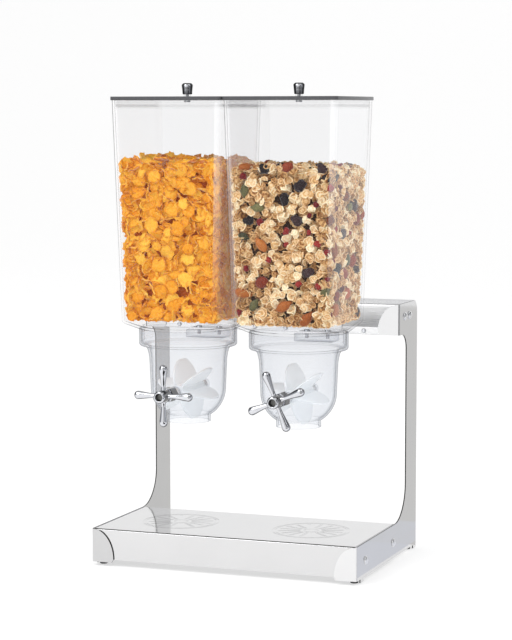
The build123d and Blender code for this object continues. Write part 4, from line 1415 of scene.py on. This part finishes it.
class DISPENSER_OT_stage(bpy.types.Operator):
    """Make the pale floor, the soft light and the camera"""
    bl_idname = "dispenser.stage"
    bl_label = "Stage"

    def execute(self, context):
        look, scene = context.scene.dispenser_stage, context.scene
        floor = begin("floor", "plane", size=2 * FLOOR_REACH, location=(0, 0, 0))

        def back_edge(edge):
            ends = [floor.data.vertices[i].co for i in edge.vertices]
            return all(p.y > FLOOR_REACH - 0.01 and p.z < 0.01 for p in ends)

        pick(floor, "edges", back_edge)
        bpy.ops.mesh.extrude_region_move(TRANSFORM_OT_translate={"value": (0, 0, FLOOR_REACH)})
        leave_edit()
        bevel(floor, back_edge, 2.5, 16)
        smooth(floor, 60)
        s = Shading("pale_floor")
        s.set(Base_Color=s.mottled(s.noise(0.8, 2), shaded(look.floor_colour, 0.99), look.floor_colour))
        s.set(Roughness=0.9, Specular_IOR_Level=0.1)
        s.set(Emission_Color=(1, 1, 1, 1), Emission_Strength=look.floor_glow)
        floor.data.materials.append(s.material)
        for card in glossy_cards():
            card.visible_camera = card.visible_diffuse = False
            card.visible_shadow = card.visible_transmission = False
        world = scene.world or bpy.data.worlds.new("studio")
        scene.world = world
        world.use_nodes = True
        sky = world.node_tree.nodes["Background"]
        sky.inputs["Color"].default_value = (1, 1, 1, 1)
        sky.inputs["Strength"].default_value = look.world_strength
        lights = (("key_light", (-1.8, -2.2, 3.0), look.key_power, 2.4),
                  ("fill_light", (2.4, -1.6, 2.6), look.key_power * 0.5, 2.0))
        for name, place, power, wide in lights:
            data = bpy.data.lights.new(name, "AREA")
            data.shape, data.size, data.energy = "SQUARE", wide, power
            lamp = bpy.data.objects.new(name, data)
            lamp.location = place
            lamp.rotation_euler = (Vector((0, 0, 0.3)) - Vector(place)).to_track_quat("-Z", "Y").to_euler()
            context.collection.objects.link(lamp)
        data = bpy.data.cameras.new("camera")
        camera = bpy.data.objects.new("camera", data)
        context.collection.objects.link(camera)
        data.lens, data.sensor_width = FOCAL_LENGTH / PICTURE_HEIGHT * SENSOR_WIDTH, SENSOR_WIDTH
        data.shift_x, data.shift_y = SHIFT[0] / PICTURE_HEIGHT, SHIFT[1] / PICTURE_HEIGHT
        data.clip_start, data.clip_end = 0.1, 60
        camera.location = CAMERA_PLACE
        camera.rotation_euler = Vector(CAMERA_AIM).to_track_quat("-Z", "Y").to_euler()
        scene.camera = camera
        scene.view_settings.view_transform = "Standard"
        scene.cycles.transparent_max_bounces = 32
        return {"FINISHED"}


# The add-on's panel, its registration and the run


class DISPENSER_PT_panel(bpy.types.Panel):
    """The settings of each part of the dispenser, with the operators that make it"""
    bl_idname = "DISPENSER_PT_panel"
    bl_label = "Cereal dispenser"
    bl_space_type = "VIEW_3D"
    bl_region_type = "UI"
    bl_category = "Dispenser"

    def draw(self, context):
        for group, operators in PARTS:
            box = self.layout.box()
            settings = getattr(context.scene, f"dispenser_{group}")
            for key in settings.__annotations__:
                box.prop(settings, key)
            for operator in operators:
                box.operator(operator.bl_idname)


PARTS = (
    ("stand", (DISPENSER_OT_stand, DISPENSER_OT_screws)),
    ("canister", (DISPENSER_OT_canisters, DISPENSER_OT_lids, DISPENSER_OT_lid_knobs)),
    ("cup", (DISPENSER_OT_cups, DISPENSER_OT_wheels)),
    ("knob", (DISPENSER_OT_knobs,)),
    ("cereal", (DISPENSER_OT_cornflakes, DISPENSER_OT_muesli)),
    ("stage", (DISPENSER_OT_stage,)),
)
GROUPS = {
    "stand": StandSettings, "canister": CanisterSettings, "cup": CupSettings,
    "knob": KnobSettings, "cereal": CerealSettings, "stage": StageSettings,
}


def register():
    for name, group in GROUPS.items():
        bpy.utils.register_class(group)
        setattr(bpy.types.Scene, f"dispenser_{name}", PointerProperty(type=group))
    for _, operators in PARTS:
        for operator in operators:
            bpy.utils.register_class(operator)
    bpy.utils.register_class(DISPENSER_PT_panel)


def unregister():
    bpy.utils.unregister_class(DISPENSER_PT_panel)
    for _, operators in PARTS:
        for operator in operators:
            bpy.utils.unregister_class(operator)
    for name, group in GROUPS.items():
        delattr(bpy.types.Scene, f"dispenser_{name}")
        bpy.utils.unregister_class(group)


def main():
    """Make every piece in order."""
    register()
    for _, operators in PARTS:
        for operator in operators:
            name = operator.bl_idname.split(".")[1]
            getattr(bpy.ops.dispenser, name)()


if __name__ == "__main__":
    main()
